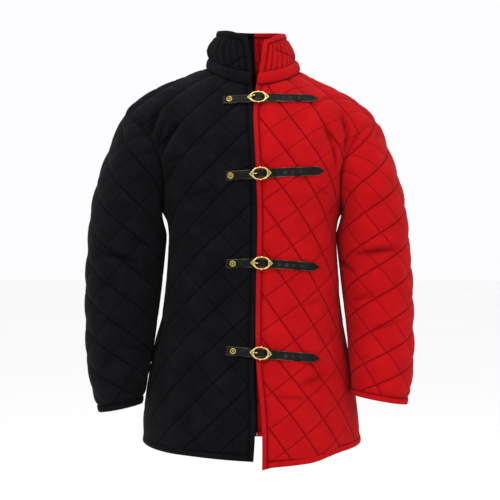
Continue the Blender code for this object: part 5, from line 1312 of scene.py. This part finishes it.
def collar_binding(side):
    """Binding from the collar's foot up its front edge, round the corner and along the top."""
    start = collar_start[side]
    up = np.array([0.0, 0.34, 0.60, 0.80, COLLAR_BAND_RISE])
    seam = [start * (1.0 + COLLAR_SLANT * up), up]
    free = [np.array([0.0, 0.0, 0.0, 0.0, 0.008]), np.array([0.0, 0.36, 0.66, 0.90, 0.992])]
    top = np.linspace(0.10, COLLAR_BACK, 14)
    seam = np.stack([np.append(seam[0], top), np.append(seam[1], np.full(14, up[-1]))], axis=-1)
    free = np.stack([np.append(free[0], top - 0.02 * (0.999 - top)),
                     np.append(free[1], np.ones(14))], axis=-1)
    knots = np.arange(len(seam), dtype=float)
    at = np.linspace(0.0, knots[-1], 220)
    seam = np.stack([np.interp(at, knots, seam[:, k]) for k in (0, 1)], axis=-1)
    free = np.stack([np.interp(at, knots, free[:, k]) for k in (0, 1)], axis=-1)

    def cloth(a, b):
        """Point of this side's collar cloth."""
        return collar_surface(side, a, b)

    return band_piece("collar_band_" + side, cloth, SIDES[side], 1.0, seam, free, EDGE_BAND, side)


BACK_SEAM_POINTS = 60
BACK_SEAM_FOOT = 0.006   # the collar's back seam runs on this far down inside the coat

for side in SIDES:
    collar = collar_piece(side)
    trims = [collar_binding(side)]
    if side == "right":
        rise = np.linspace(0.0, 0.985, BACK_SEAM_POINTS)
        middle = collar_surface("left", np.ones_like(rise), rise)
        middle[0, 2] -= BACK_SEAM_FOOT
        ways = np.stack([np.zeros_like(rise), np.gradient(middle[:, 2]),
                         -np.gradient(middle[:, 1])], axis=-1)
        trims.append(seam_piece("collar_back", middle, unit(ways), "right"))


# ------------------------------------------------------------------ collar rolls
# A padded roll of canvas sewn round the foot of each collar half. Its seams lie against the
# collar and the shoulder, and it swells out between them.

ROLL_TALL = 0.0222
ROLL_OUT = 0.0118
ROLL_END = 0.0070        # the front end is drawn in over this length
ROLL_POINTS, ROLL_SIDES = 150, 28


def roll_piece(side):
    """Padded roll: a squarish ring carried round the neck, drawn in to a blunt end in front.

    The ring is |cos|^0.8 up and |sin|^0.9 out, on a middle half its height up the collar.
    """
    share = np.linspace(0.001, COLLAR_BACK, ROLL_POINTS)
    angle = np.linspace(0.0, 2 * math.pi, ROLL_SIDES + 1)[:-1]
    foot, top = collar_surface(side, share, 0.0), collar_surface(side, share, 1.0)
    upward = unit(top - foot)
    out = surface_normals(lambda a, b: collar_surface(side, a, b), share,
                          np.full_like(share, 0.05), SIDES[side], 1.0)
    along = running_length(np.linalg.norm(np.diff(foot, axis=0), axis=-1), 0)
    end = np.sqrt(1.0 - (1.0 - np.clip((along + 0.0004) / ROLL_END, 0.0, 1.0)) ** 2.4)
    gather = 1.0 + 0.035 * np.sin(along / 0.0031) + 0.03 * np.sin(along / 0.0107 + 1.0)
    tall = 0.5 * ROLL_TALL * (0.35 + 0.65 * end)
    deep = 0.5 * ROLL_OUT * end * gather
    middle = foot + (0.5 * ROLL_TALL - 0.0010) * upward + (0.5 * ROLL_OUT - 0.0012) * out
    climb = np.sign(np.cos(angle)) * np.abs(np.cos(angle)) ** 0.8
    reach = np.sign(np.sin(angle)) * np.abs(np.sin(angle)) ** 0.9
    points = (middle[:, None] + (tall[:, None] * climb)[..., None] * upward[:, None]
              + (deep[:, None] * reach)[..., None] * out[:, None])
    girth = np.linspace(0.0, 1.0, ROLL_SIDES + 1) * 2.6 * ROLL_TALL
    pattern = np.stack(np.broadcast_arrays(along[:, None], girth[None, :]), axis=-1)
    plain = np.full(pattern.shape, 0.5)
    made = tube_piece("padded_roll_" + side, points,
                      {"pattern": pattern, "places": plain, "runs": pattern}, False, CANVAS[side])
    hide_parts("collar_roll_" + side)
    return made


for side in SIDES:
    roll_piece(side)


# ------------------------------------------------------------------ straps
# Four straps of black leather, riveted to the right front. Each runs under its buckle's rim, over
# the bar and out under the other rim, and its pointed tail lies loose on the left front.

STRAP_WIDTH = 0.016
STRAP_THICK = 0.0018
STRAP_PINCH = 0.0015            # each edge of a strap is drawn in this far inside its buckle
PINCH_REACH = (0.0185, 0.0130)  # distances from the bar between which that sets in
STRAP_POINT = 0.0125            # length of the pointed tail
STRAP_POINTS = 190
CHAPE_THICK = 0.0012
LAY = SWELL + 0.0006            # what lies on the cloth starts this far over its stitched level
AIR = 0.0003                    # clearance between pieces that rest on each other
FRAME_THICK = 0.0020
FRAME_LIFT = CHAPE_THICK + STRAP_THICK + 4 * AIR        # rim's underside over the lay
BAR_CLEAR = FRAME_THICK + CHAPE_THICK + 4 * AIR         # strap's underside over the rim's
HOLE_RADIUS = 0.0015
HOLE_DENT = 0.0009
HOLE_RUBBED = 0.50              # how much paler the prong has rubbed the leather round a hole
LAY_STEP = 0.002                # spacing of the points that a strap's line is read through
LAY_SMOOTHINGS = 6

# Each strap: x and z of its riveted end, of the buckle's bar and of the tail's tip, rivet x
STRAPS = (
    ("1", -0.0528, -0.0503, 0.0110, -0.0470, 0.1199, -0.0447, -0.0406),
    ("2", -0.0481, -0.1880, 0.0149, -0.1837, 0.1291, -0.1765, -0.0384),
    ("3", -0.0471, -0.3460, 0.0170, -0.3442, 0.1205, -0.3528, -0.0341),
    ("4", -0.0470, -0.5035, 0.0151, -0.5084, 0.1210, -0.5195, -0.0335),
)
# Punched holes of each strap, as distances from its buckle's bar
HOLES = {
    "1": (0.0296, 0.0438, 0.0573, 0.0735),
    "2": (0.0436, 0.0574, 0.0712),
    "3": (0.0304, 0.0442, 0.0570, 0.0707),
    "4": (0.0440, 0.0578, 0.0716),
}

# Vegetable-tanned strap leather, dyed black through a smooth grain and waxed: close pebbling about
# 0.6 mm across, a low broken gloss, greyer creases where it bends and a rubbed edge. The dented
# holes are painted black as the shade inside a punched hole.
PEBBLES, WORN_PATCHES = 1600.0, 60.0    # of each to a metre of leather
LEATHER_CREASES = (420.0, 60.0, 1.0)    # and of creases, across and along them
PEBBLE_RELIEF, LEATHER_CREASE_RELIEF = 0.00007, -0.00012
leather, tree, shader = new_material("black_strap_leather")
pattern = add_node(tree, "ShaderNodeUVMap", uv_map="pattern").outputs["UV"]
edge = add_node(tree, "ShaderNodeUVMap", uv_map="edge").outputs["UV"]
edge_parts = add_node(tree, "ShaderNodeSeparateXYZ", {"Vector": edge})
grain = add_node(tree, "ShaderNodeTexVoronoi", {"Vector": pattern, "Scale": PEBBLES},
                 feature="DISTANCE_TO_EDGE").outputs["Distance"]
grain = add_node(tree, "ShaderNodeMapRange", {"Value": grain, "From Min": 0.0,
                                              "From Max": 0.12}).outputs["Result"]
stretched = add_node(tree, "ShaderNodeMapping", {"Vector": pattern, "Scale": LEATHER_CREASES})
crease = add_node(tree, "ShaderNodeTexNoise", {"Vector": stretched.outputs["Vector"],
                                               "Scale": 1.0, "Detail": 3.0}).outputs["Fac"]
crease = add_node(tree, "ShaderNodeMapRange", {"Value": crease, "From Min": 0.60,
                                               "From Max": 0.72}).outputs["Result"]
worn = add_node(tree, "ShaderNodeTexNoise", {"Vector": pattern, "Scale": WORN_PATCHES,
                                             "Detail": 3.0}).outputs["Fac"]
tone = add_node(tree, "ShaderNodeMapRange", {"Value": worn, "From Min": 0.38,
                                             "From Max": 0.66}).outputs["Result"]
colour = add_node(tree, "ShaderNodeMix", {0: tone, 6: linear("010201"), 7: linear("13140D")},
                  data_type="RGBA").outputs[2]
creased = add_node(tree, "ShaderNodeMath", {0: crease, 1: 0.25}, operation="MULTIPLY").outputs[0]
colour = add_node(tree, "ShaderNodeMix", {0: creased, 6: colour, 7: linear("3A3A30")},
                  data_type="RGBA").outputs[2]
rubbed = add_node(tree, "ShaderNodeMath", {0: edge_parts.outputs["X"], 1: tone},
                  operation="MULTIPLY").outputs[0]
colour = add_node(tree, "ShaderNodeMix", {0: rubbed, 6: colour, 7: linear("6E6857")},
                  data_type="RGBA").outputs[2]
# Painted shade: the dented holes are painted black, as the shade inside a punched hole.
colour = add_node(tree, "ShaderNodeMix", {0: edge_parts.outputs["Y"], 6: colour,
                                          7: linear("000000")}, data_type="RGBA").outputs[2]
tree.links.new(colour, shader.inputs["Base Color"])
gloss = add_node(tree, "ShaderNodeMapRange", {"Value": worn, "From Min": 0.35, "From Max": 0.70,
                                              "To Min": 0.34, "To Max": 0.58}).outputs["Result"]
tree.links.new(gloss, shader.inputs["Roughness"])
shader.inputs["Specular IOR Level"].default_value = 0.13
relief = add_node(tree, "ShaderNodeMath", {0: grain, 1: PEBBLE_RELIEF},
                  operation="MULTIPLY").outputs[0]
relief = add_node(tree, "ShaderNodeMath", {0: crease, 1: LEATHER_CREASE_RELIEF, 2: relief},
                  operation="MULTIPLY_ADD").outputs[0]
bump = add_node(tree, "ShaderNodeBump", {"Strength": 1.0, "Distance": 1.0, "Height": relief})
tree.links.new(bump.outputs["Normal"], shader.inputs["Normal"])

# The fronts' stitched level as points with the way out there, for the straps to lie on
front_points, front_ways = [], []
for side in SIDES:
    grid = body_surface(side, np.linspace(0.0, 0.92, 120)[:, None],
                        np.linspace(0.18, 0.96, 320)[None, :])
    front_points.append(grid.reshape(-1, 3))
    front_ways.append(grid_normals(grid, SIDES[side]).reshape(-1, 3))
front_points, front_ways = np.concatenate(front_points), np.concatenate(front_ways)


def strap_lay(row):
    """The line a strap lies along: the fronts' nearest point for each x, moved in its own plane
    to that x and z, then smoothed, with the way out there."""
    _, end_x, end_z, bar_x, bar_z, tip_x, tip_z, _ = row
    x = np.arange(end_x - 0.006, tip_x + 0.004, LAY_STEP)
    z = np.interp(x, [end_x, bar_x, tip_x], [end_z, bar_z, tip_z])
    away_x = front_points[None, :, 0] - x[:, None]
    away_z = front_points[None, :, 2] - z[:, None]
    nearest = (away_x ** 2 + away_z ** 2).argmin(axis=1)
    points, ways = front_points[nearest].copy(), front_ways[nearest].copy()
    off = (x - points[:, 0]) * ways[:, 0] + (z - points[:, 2]) * ways[:, 2]
    points = np.stack([x, points[:, 1] - off / ways[:, 1], z], axis=-1)
    for _ in range(LAY_SMOOTHINGS):
        points[1:-1] = (points[:-2] + 2 * points[1:-1] + points[2:]) / 4
        ways[1:-1] = (ways[:-2] + 2 * ways[1:-1] + ways[2:]) / 4
    return x, points, unit(ways)


def on_lay(lay, x):
    """Points of a strap's line at these x, with the way out there."""
    knots, points, ways = lay
    center = np.stack([np.interp(x, knots, points[:, k]) for k in range(3)], axis=-1)
    way = np.stack([np.interp(x, knots, ways[:, k]) for k in range(3)], axis=-1)
    return center, unit(way)


def strap_height(away):
    """Underside of a strap over its lay: high over the bar, a little raised over the chape."""
    high = FRAME_LIFT + BAR_CLEAR
    over = smoothstep(-np.abs(away), -0.0098, -0.0030)
    on_chape = smoothstep(-away, -0.042, -0.036) * smoothstep(away, 0.0, 0.004)
    low = (CHAPE_THICK + AIR) * on_chape
    return low + (high - low) * over


# Cut round a strap: share of its half width, share of its thickness, whether it is the raw edge
top_run = np.linspace(-0.90, 0.90, 25)
STRAP_CUT = np.concatenate([
    np.stack([top_run, 1.0 - 0.05 * top_run ** 4, np.zeros(25)], axis=-1),
    [(0.965, 0.91, 1.0), (1.0, 0.76, 1.0), (1.0, 0.25, 1.0), (0.97, 0.05, 1.0), (0.90, 0.0, 0.3)],
    [(0.45, 0.0, 0.0), (0.0, 0.0, 0.0), (-0.45, 0.0, 0.0)],
    [(-0.90, 0.0, 0.3), (-0.97, 0.05, 1.0), (-1.0, 0.25, 1.0), (-1.0, 0.78, 1.0),
     (-0.965, 0.91, 1.0)],
])


def strap_piece(lay, row):
    """Strap: the cut carried along the lay, narrowed to the point and dented at each hole, with
    its raw edges and the rims of its holes marked for the leather, and the insides of its holes
    marked for painted black shade."""
    name, end_x, _, bar_x, _, tip_x, _, _ = row
    x = np.linspace(end_x, tip_x, STRAP_POINTS)
    from_bar = np.abs(x - bar_x)
    half = STRAP_WIDTH / 2 - STRAP_PINCH * smoothstep(-from_bar, -PINCH_REACH[0], -PINCH_REACH[1])
    to_tip = np.clip((x - tip_x + STRAP_POINT) / STRAP_POINT, 0.0, 1.0)
    half = half * np.maximum(1.0 - to_tip ** 1.15, 0.09)
    half = half * (1.0 - 0.14 * (1.0 - np.clip((x - end_x) / 0.0025, 0.0, 1.0)) ** 2.5)
    center, way = on_lay(lay, x)
    along = unit(np.gradient(center, axis=0))
    side_way = unit(np.cross(way, along))
    low = LAY + strap_height(x - bar_x)
    away_y = half[:, None] * STRAP_CUT[None, :, 0]
    lift = low[:, None] + STRAP_THICK * STRAP_CUT[None, :, 1]
    hole = np.zeros_like(away_y)
    burr = np.zeros_like(away_y)
    for place in HOLES[name]:
        away = np.hypot(x[:, None] - bar_x - place, away_y)
        hole = np.maximum(hole, 1.0 - smoothstep(away, 0.7 * HOLE_RADIUS, 1.15 * HOLE_RADIUS))
        burr = np.maximum(burr, 1.0 - smoothstep(away, 1.3 * HOLE_RADIUS, 2.1 * HOLE_RADIUS))
    top = STRAP_CUT[None, :, 1] > 0.9
    hole, burr = hole * top, burr * top
    lift = lift - HOLE_DENT * hole
    points = (center[:, None] + away_y[..., None] * side_way[:, None]
              + lift[..., None] * way[:, None])
    around = np.append(STRAP_CUT[:, 0], STRAP_CUT[0, 0])
    raw = np.append(STRAP_CUT[:, 2], STRAP_CUT[0, 2])
    hole = np.concatenate([hole, hole[:, :1]], axis=1)
    burr = np.concatenate([burr, burr[:, :1]], axis=1)
    pattern = np.stack([np.broadcast_to(x[:, None], hole.shape),
                        half[:, None] * around[None, :]], axis=-1)
    # The second value marks the holes, which the leather paints black as shade.
    edges = np.stack([np.maximum(raw[None, :], HOLE_RUBBED * burr), hole], axis=-1)
    made = tube_piece("leather_strap_" + name, points, {"pattern": pattern, "edge": edges},
                      False, leather)
    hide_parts("strap_" + name)


lays = {}
for row in STRAPS:
    lays[row[0]] = strap_lay(row)
    strap_piece(lays[row[0]], row)


# ------------------------------------------------------------------ chapes
# A short tongue of the same leather behind each buckle: one end is sewn flat to the left front
# and the other is hooked round the buckle's bar.

CHAPE_WIDTH = 0.0150
CHAPE_LENGTH = 0.034
CHAPE_DROP = 0.0012             # a chape lies this far below its strap's middle line
CHAPE_ROUNDING = 0.004          # its sewn end is rounded over this length
BAR_HALF_WIDTH = 0.0015

# Cut round a chape: share of its half width, share of its thickness from its middle
CHAPE_CUT = np.array([
    (-0.94, 0.5), (-0.5, 0.5), (0.0, 0.5), (0.5, 0.5), (0.94, 0.5), (1.0, 0.3),
    (1.0, -0.3), (0.94, -0.5), (0.0, -0.5), (-0.94, -0.5), (-1.0, -0.3), (-1.0, 0.3),
])


def buckle_place(lay, row):
    """Axes at a buckle: the stitched level under its bar, along, up and out."""
    center, way = on_lay(lay, row[3] + np.array([-0.012, 0.0, 0.012]))
    along = unit(center[2] - center[0])
    out = unit(way[1] - along * (way[1] @ along))
    return center[1], along, np.cross(out, along), out


def chape_piece(lay, place, row):
    """Chape: a rounded strip's cut carried flat along the cloth and then round the bar."""
    bar_middle = FRAME_LIFT + FRAME_THICK / 2
    wide = BAR_HALF_WIDTH + AIR + CHAPE_THICK / 2
    tall = FRAME_THICK / 2 + AIR + CHAPE_THICK / 2
    turn = np.radians(np.linspace(285.0, 62.0, 26))
    hook = np.stack([1.3 * wide * np.cos(turn), bar_middle + 1.15 * tall * np.sin(turn)], axis=-1)
    reach = np.linspace(CHAPE_LENGTH, 0.0065, 50)
    flat = np.stack([reach, np.full(50, CHAPE_THICK / 2)], axis=-1)
    path = np.concatenate([flat, hook])
    heading = unit(np.gradient(path, axis=0))
    across = np.stack([-heading[:, 1], heading[:, 0]], axis=-1)
    spot = path[:, None] + (CHAPE_THICK * CHAPE_CUT[None, :, 1])[..., None] * across[:, None]
    center, way = on_lay(lay, row[3] + spot[..., 0])
    rounding = np.clip((CHAPE_LENGTH - path[:, 0]) / CHAPE_ROUNDING, 0.0, 1.0)
    half = 0.5 * CHAPE_WIDTH * (0.72 + 0.28 * np.sqrt(1.0 - (1.0 - rounding) ** 2))
    drop = CHAPE_DROP * smoothstep(path[:, 0], 0.004, 0.014)
    away = half[:, None] * CHAPE_CUT[None, :, 0] - drop[:, None]
    points = center + (LAY + spot[..., 1])[..., None] * way + away[..., None] * place[2]
    length = running_length(np.linalg.norm(np.diff(path, axis=0), axis=-1), 0)
    around = np.append(CHAPE_CUT[:, 0], CHAPE_CUT[0, 0])
    raw = (np.abs(around) > 0.97).astype(float)
    pattern = np.stack(np.broadcast_arrays(length[:, None],
                                           0.5 * CHAPE_WIDTH * around[None, :]), axis=-1)
    edges = np.stack(np.broadcast_arrays(raw[None, :], 0.0 * length[:, None]), axis=-1)
    made = tube_piece("leather_chape_" + row[0], points, {"pattern": pattern, "edge": edges},
                      False, leather)
    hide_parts("chape_" + row[0])


for row in STRAPS:
    chape_piece(lays[row[0]], buckle_place(lays[row[0]], row), row)


# ------------------------------------------------------------------ buckles and rivets
# Cast brass, filed and polished by hand and gone a little dull: a pointed oval rim with a bar
# across its middle whose ends stand out as knobs, a tapered prong, and a ringed rivet head.

FRAME_HALF_LENGTH = 0.0206
FRAME_HALF_HEIGHT = 0.0114
WINDOW_HALF_LENGTH = 0.0118
WINDOW_HALF_HEIGHT = 0.0091
WINDOW_SQUARENESS = 2.7         # 2 would make the buckle's window a plain ellipse
FLANK_SLOPE = 0.55              # a straight flank would meet the height 1/0.55 times as far out
ARCH_REACH = 1.35               # half length of the outline's arch over that of the rim
RIM_POINTS, RIM_SIDES = 144, 22
RIM_SWELL = 1.15                # a rim's cut stands this much taller than its thickness
BROAD_HALF = (0.0016, 0.0036)   # half widths of the rim between which its face is dished
DISH_DEPTH = 0.0008
KNOB_RADIUS = 0.0019
BAR_RADIUS = 0.0012
BAR_POINTS = 61
PRONG_RADIUS = 0.0011
PRONG_START, PRONG_LENGTH = -0.0050, 0.0105     # from the bar, towards the rim's left end
PRONG_SINK = 0.0022             # its root dips this far into the strap's hole
PRONG_POINTS, PRONG_SIDES = 28, 14
PRONG_RUBBED = 0.75
RIVET_SIDES = 40

# Antique brass: yellow where it is rubbed, browner where the air has tarnished it, with fine
# file marks. On the rims the rubbed map also holds painted light: lighter where the rim faces up
# and darker where it faces down. Bare metal, so it keeps the default IOR.
STAINS = 260.0                          # to a metre of brass
FILE_MARKS = (300.0, 300.0, 2600.0)     # and of file marks, along and across them
FILE_RELIEF, STAIN_RELIEF = 0.00004, 0.00010
brass, tree, shader = new_material("antique_cast_brass")
where = add_node(tree, "ShaderNodeTexCoord").outputs["Object"]
stain = add_node(tree, "ShaderNodeTexNoise", {"Vector": where, "Scale": STAINS, "Detail": 4.0,
                                              "Roughness": 0.6}).outputs["Fac"]
tarnish = add_node(tree, "ShaderNodeMapRange", {"Value": stain, "From Min": 0.50,
                                                "From Max": 0.68}).outputs["Result"]
# The rubbed map: real rubbing, and on the buckle rims also painted light from above.
rubbed = add_node(tree, "ShaderNodeUVMap", uv_map="rubbed").outputs["UV"]
rubbed = add_node(tree, "ShaderNodeSeparateXYZ", {"Vector": rubbed}).outputs["X"]
colour = add_node(tree, "ShaderNodeMix", {0: rubbed, 6: linear("452E08"), 7: linear("FFE992")},
                  data_type="RGBA").outputs[2]
tarnish = add_node(tree, "ShaderNodeMath", {0: tarnish, 1: 0.45}, operation="MULTIPLY").outputs[0]
colour = add_node(tree, "ShaderNodeMix", {0: tarnish, 6: colour, 7: linear("98752F")},
                  data_type="RGBA").outputs[2]
tree.links.new(colour, shader.inputs["Base Color"])
gloss = add_node(tree, "ShaderNodeMapRange", {"Value": stain, "From Min": 0.35, "From Max": 0.70,
                                              "To Min": 0.20, "To Max": 0.42}).outputs["Result"]
tree.links.new(gloss, shader.inputs["Roughness"])
marks = add_node(tree, "ShaderNodeMapping", {"Vector": where, "Scale": FILE_MARKS})
marks = add_node(tree, "ShaderNodeTexNoise", {"Vector": marks.outputs["Vector"], "Scale": 1.0,
                                              "Detail": 2.0}).outputs["Fac"]
relief = add_node(tree, "ShaderNodeMath", {0: marks, 1: FILE_RELIEF},
                  operation="MULTIPLY").outputs[0]
relief = add_node(tree, "ShaderNodeMath", {0: stain, 1: STAIN_RELIEF, 2: relief},
                  operation="MULTIPLY_ADD").outputs[0]
bump = add_node(tree, "ShaderNodeBump", {"Strength": 1.0, "Distance": 1.0, "Height": relief})
tree.links.new(bump.outputs["Normal"], shader.inputs["Normal"])
shader.inputs["Metallic"].default_value = 1.0


def rim_piece(place, name):
    """Buckle rim: at each angle a flattened ring between the window and the pointed outline.

    The window is a superellipse, |x/a|^n + |y/b|^n = 1. The outline is the nearer of a straight
    flank, |x/a| + slope |y/b| = 1, and a wide ellipse. Its broad ends are dished.
    """
    angle = np.linspace(0.0, 2 * math.pi, RIM_POINTS + 1)[:-1]
    turn = np.linspace(0.0, 2 * math.pi, RIM_SIDES + 1)[:-1]
    c, s = np.abs(np.cos(angle)), np.abs(np.sin(angle))
    flank = c / FRAME_HALF_LENGTH + FLANK_SLOPE * s / FRAME_HALF_HEIGHT
    arch = np.hypot(c / (ARCH_REACH * FRAME_HALF_LENGTH), s / FRAME_HALF_HEIGHT)
    outer = (flank ** 14 + arch ** 14) ** (-1 / 14)
    power = WINDOW_SQUARENESS
    inner = ((c / WINDOW_HALF_LENGTH) ** power + (s / WINDOW_HALF_HEIGHT) ** power) ** (-1 / power)
    middle, half = 0.5 * (outer + inner), 0.5 * (outer - inner)
    wide = np.sign(np.cos(turn)) * np.abs(np.cos(turn)) ** 0.7
    high = np.sign(np.sin(turn)) * np.abs(np.sin(turn)) ** 0.7
    from_center = middle[:, None] + half[:, None] * wide[None, :]
    broad = smoothstep(half, *BROAD_HALF)[:, None]
    dish = DISH_DEPTH * broad * np.exp(-(wide[None, :] / 0.50) ** 2) * (high[None, :] > 0.5)
    lift = LAY + FRAME_LIFT + 0.5 * FRAME_THICK * (1.0 + RIM_SWELL * high[None, :]) - dish
    base, along, across, out = place
    flat_x, flat_y = np.cos(angle)[:, None] * from_center, np.sin(angle)[:, None] * from_center
    points = (base + flat_x[..., None] * along + flat_y[..., None] * across
              + lift[..., None] * out)
    # Painted light: the sides of the rim that face up are painted lighter and those that face down
    # darker.
    painted_top_light = 0.72 + 0.28 * wide[None, :] * np.sin(angle)[:, None]
    rubbed = np.clip(high + 0.15, 0.0, 1.0) * painted_top_light
    rubbed = rubbed * (1.0 - 0.85 * broad * np.exp(-(wide / 0.55) ** 2))
    rubbed = np.concatenate([rubbed, rubbed[:1]])
    rubbed = np.concatenate([rubbed, rubbed[:, :1]], axis=1)
    made = tube_piece("brass_rim_" + name, points,
                      {"rubbed": np.stack([rubbed, rubbed], axis=-1)}, True, brass)
    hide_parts("buckle_" + name)


def turned_piece(label, start, axis, profile, rubbed, around=24):
    """Turned brass form: a profile of (distance along the axis, radius) swept round the axis,
    with how far each point of the profile is rubbed bright."""
    axis = unit(axis)
    beside = unit(np.cross(axis, [0.3, 1.0, 0.2]))
    above = np.cross(axis, beside)
    turn = np.linspace(0.0, 2 * math.pi, around + 1)[:-1]
    ring = np.cos(turn)[:, None] * beside + np.sin(turn)[:, None] * above
    profile = np.asarray(profile)
    points = (start + profile[:, None, :1] * axis + profile[:, None, 1:] * ring[None])
    bright = np.broadcast_to(np.asarray(rubbed, float)[:, None, None],
                             (len(profile), around + 1, 2))
    made = tube_piece(label, points, {"rubbed": bright}, False, brass)
    return made


def bar_piece(place, name):
    """Bar with knobs: a thin shaft between two balls that stand out above and below the rim."""
    base, _, across, out = place
    reach = FRAME_HALF_HEIGHT - 0.0002
    y = np.linspace(-reach - KNOB_RADIUS, reach + KNOB_RADIUS, BAR_POINTS)
    ball = KNOB_RADIUS ** 2 - (np.abs(y) - reach) ** 2
    shaft = np.where(np.abs(y) < reach, BAR_RADIUS, 0.0001)
    radius = np.maximum(np.sqrt(np.maximum(ball, 0.0)), shaft)
    start = base + (LAY + FRAME_LIFT + 0.5 * FRAME_THICK) * out
    made = turned_piece("brass_bar_" + name, start, across, np.stack([y, radius], axis=-1),
                        smoothstep(radius, BAR_RADIUS, 0.0016))
    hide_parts("buckle_" + name)


def prong_piece(place, name):
    """Prong: a tapered rod on a smooth path from the strap's hole down to the rim's end."""
    over_strap = FRAME_LIFT + BAR_CLEAR + STRAP_THICK + AIR + PRONG_RADIUS
    on_frame = FRAME_LIFT + FRAME_THICK + AIR + PRONG_RADIUS
    share = np.linspace(0.0, 1.0, PRONG_POINTS)
    x = PRONG_START - PRONG_LENGTH * share
    height = over_strap + (on_frame - over_strap) * smoothstep(share, 0.25, 0.95)
    height = height - PRONG_SINK * (1.0 - smoothstep(share, 0.0, 0.18))
    radius = 0.0012 - 0.0005 * share ** 2
    radius = radius * np.sqrt(np.clip(1.02 - (2 * share - 1) ** 24, 0.0, 1.0))
    turn = np.linspace(0.0, 2 * math.pi, PRONG_SIDES + 1)[:-1]
    base, along, across, out = place
    ring = np.cos(turn)[:, None] * across + np.sin(turn)[:, None] * out
    middle = base + x[:, None] * along + (LAY + height)[:, None] * out
    points = middle[:, None] + radius[:, None, None] * ring[None]
    bright = np.full((len(points), PRONG_SIDES + 1, 2), PRONG_RUBBED)
    made = tube_piece("brass_prong_" + name, points, {"rubbed": bright}, False, brass)
    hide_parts("prong_" + name)


# Cut through a rivet head: height over the strap and radius, a ring round a low dome, and how
# far it is rubbed bright: all of the ring, little of the dome
RIVET_CUT = (
    (0.0000, 0.0046), (0.0000, 0.0057), (0.0006, 0.0057), (0.0012, 0.0055), (0.0017, 0.0050),
    (0.0019, 0.0044), (0.0017, 0.0038), (0.0012, 0.0034), (0.0010, 0.0030), (0.0013, 0.0026),
    (0.0018, 0.0020), (0.0022, 0.0012), (0.0024, 0.0004), (0.0024, 0.0001),
)
RIVET_RUBBED = (0.0, 0.1, 0.2, 0.35, 0.5, 0.5, 0.2, 0.0, 0.0, 0.05, 0.15, 0.25, 0.3, 0.3)


def rivet_piece(lay, row):
    """Rivet head on the strap's end."""
    center, way = on_lay(lay, row[-1] + np.array([-0.005, 0.0, 0.005]))
    out = unit(way.sum(axis=0))
    start = center[1] + (LAY + STRAP_THICK + AIR) * out
    made = turned_piece("brass_rivet_" + row[0], start, out, RIVET_CUT, RIVET_RUBBED, RIVET_SIDES)
    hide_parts("rivet_" + row[0])


for row in STRAPS:
    lay = lays[row[0]]
    place = buckle_place(lay, row)
    rim_piece(place, row[0])
    bar_piece(place, row[0])
    prong_piece(place, row[0])
    rivet_piece(lay, row)
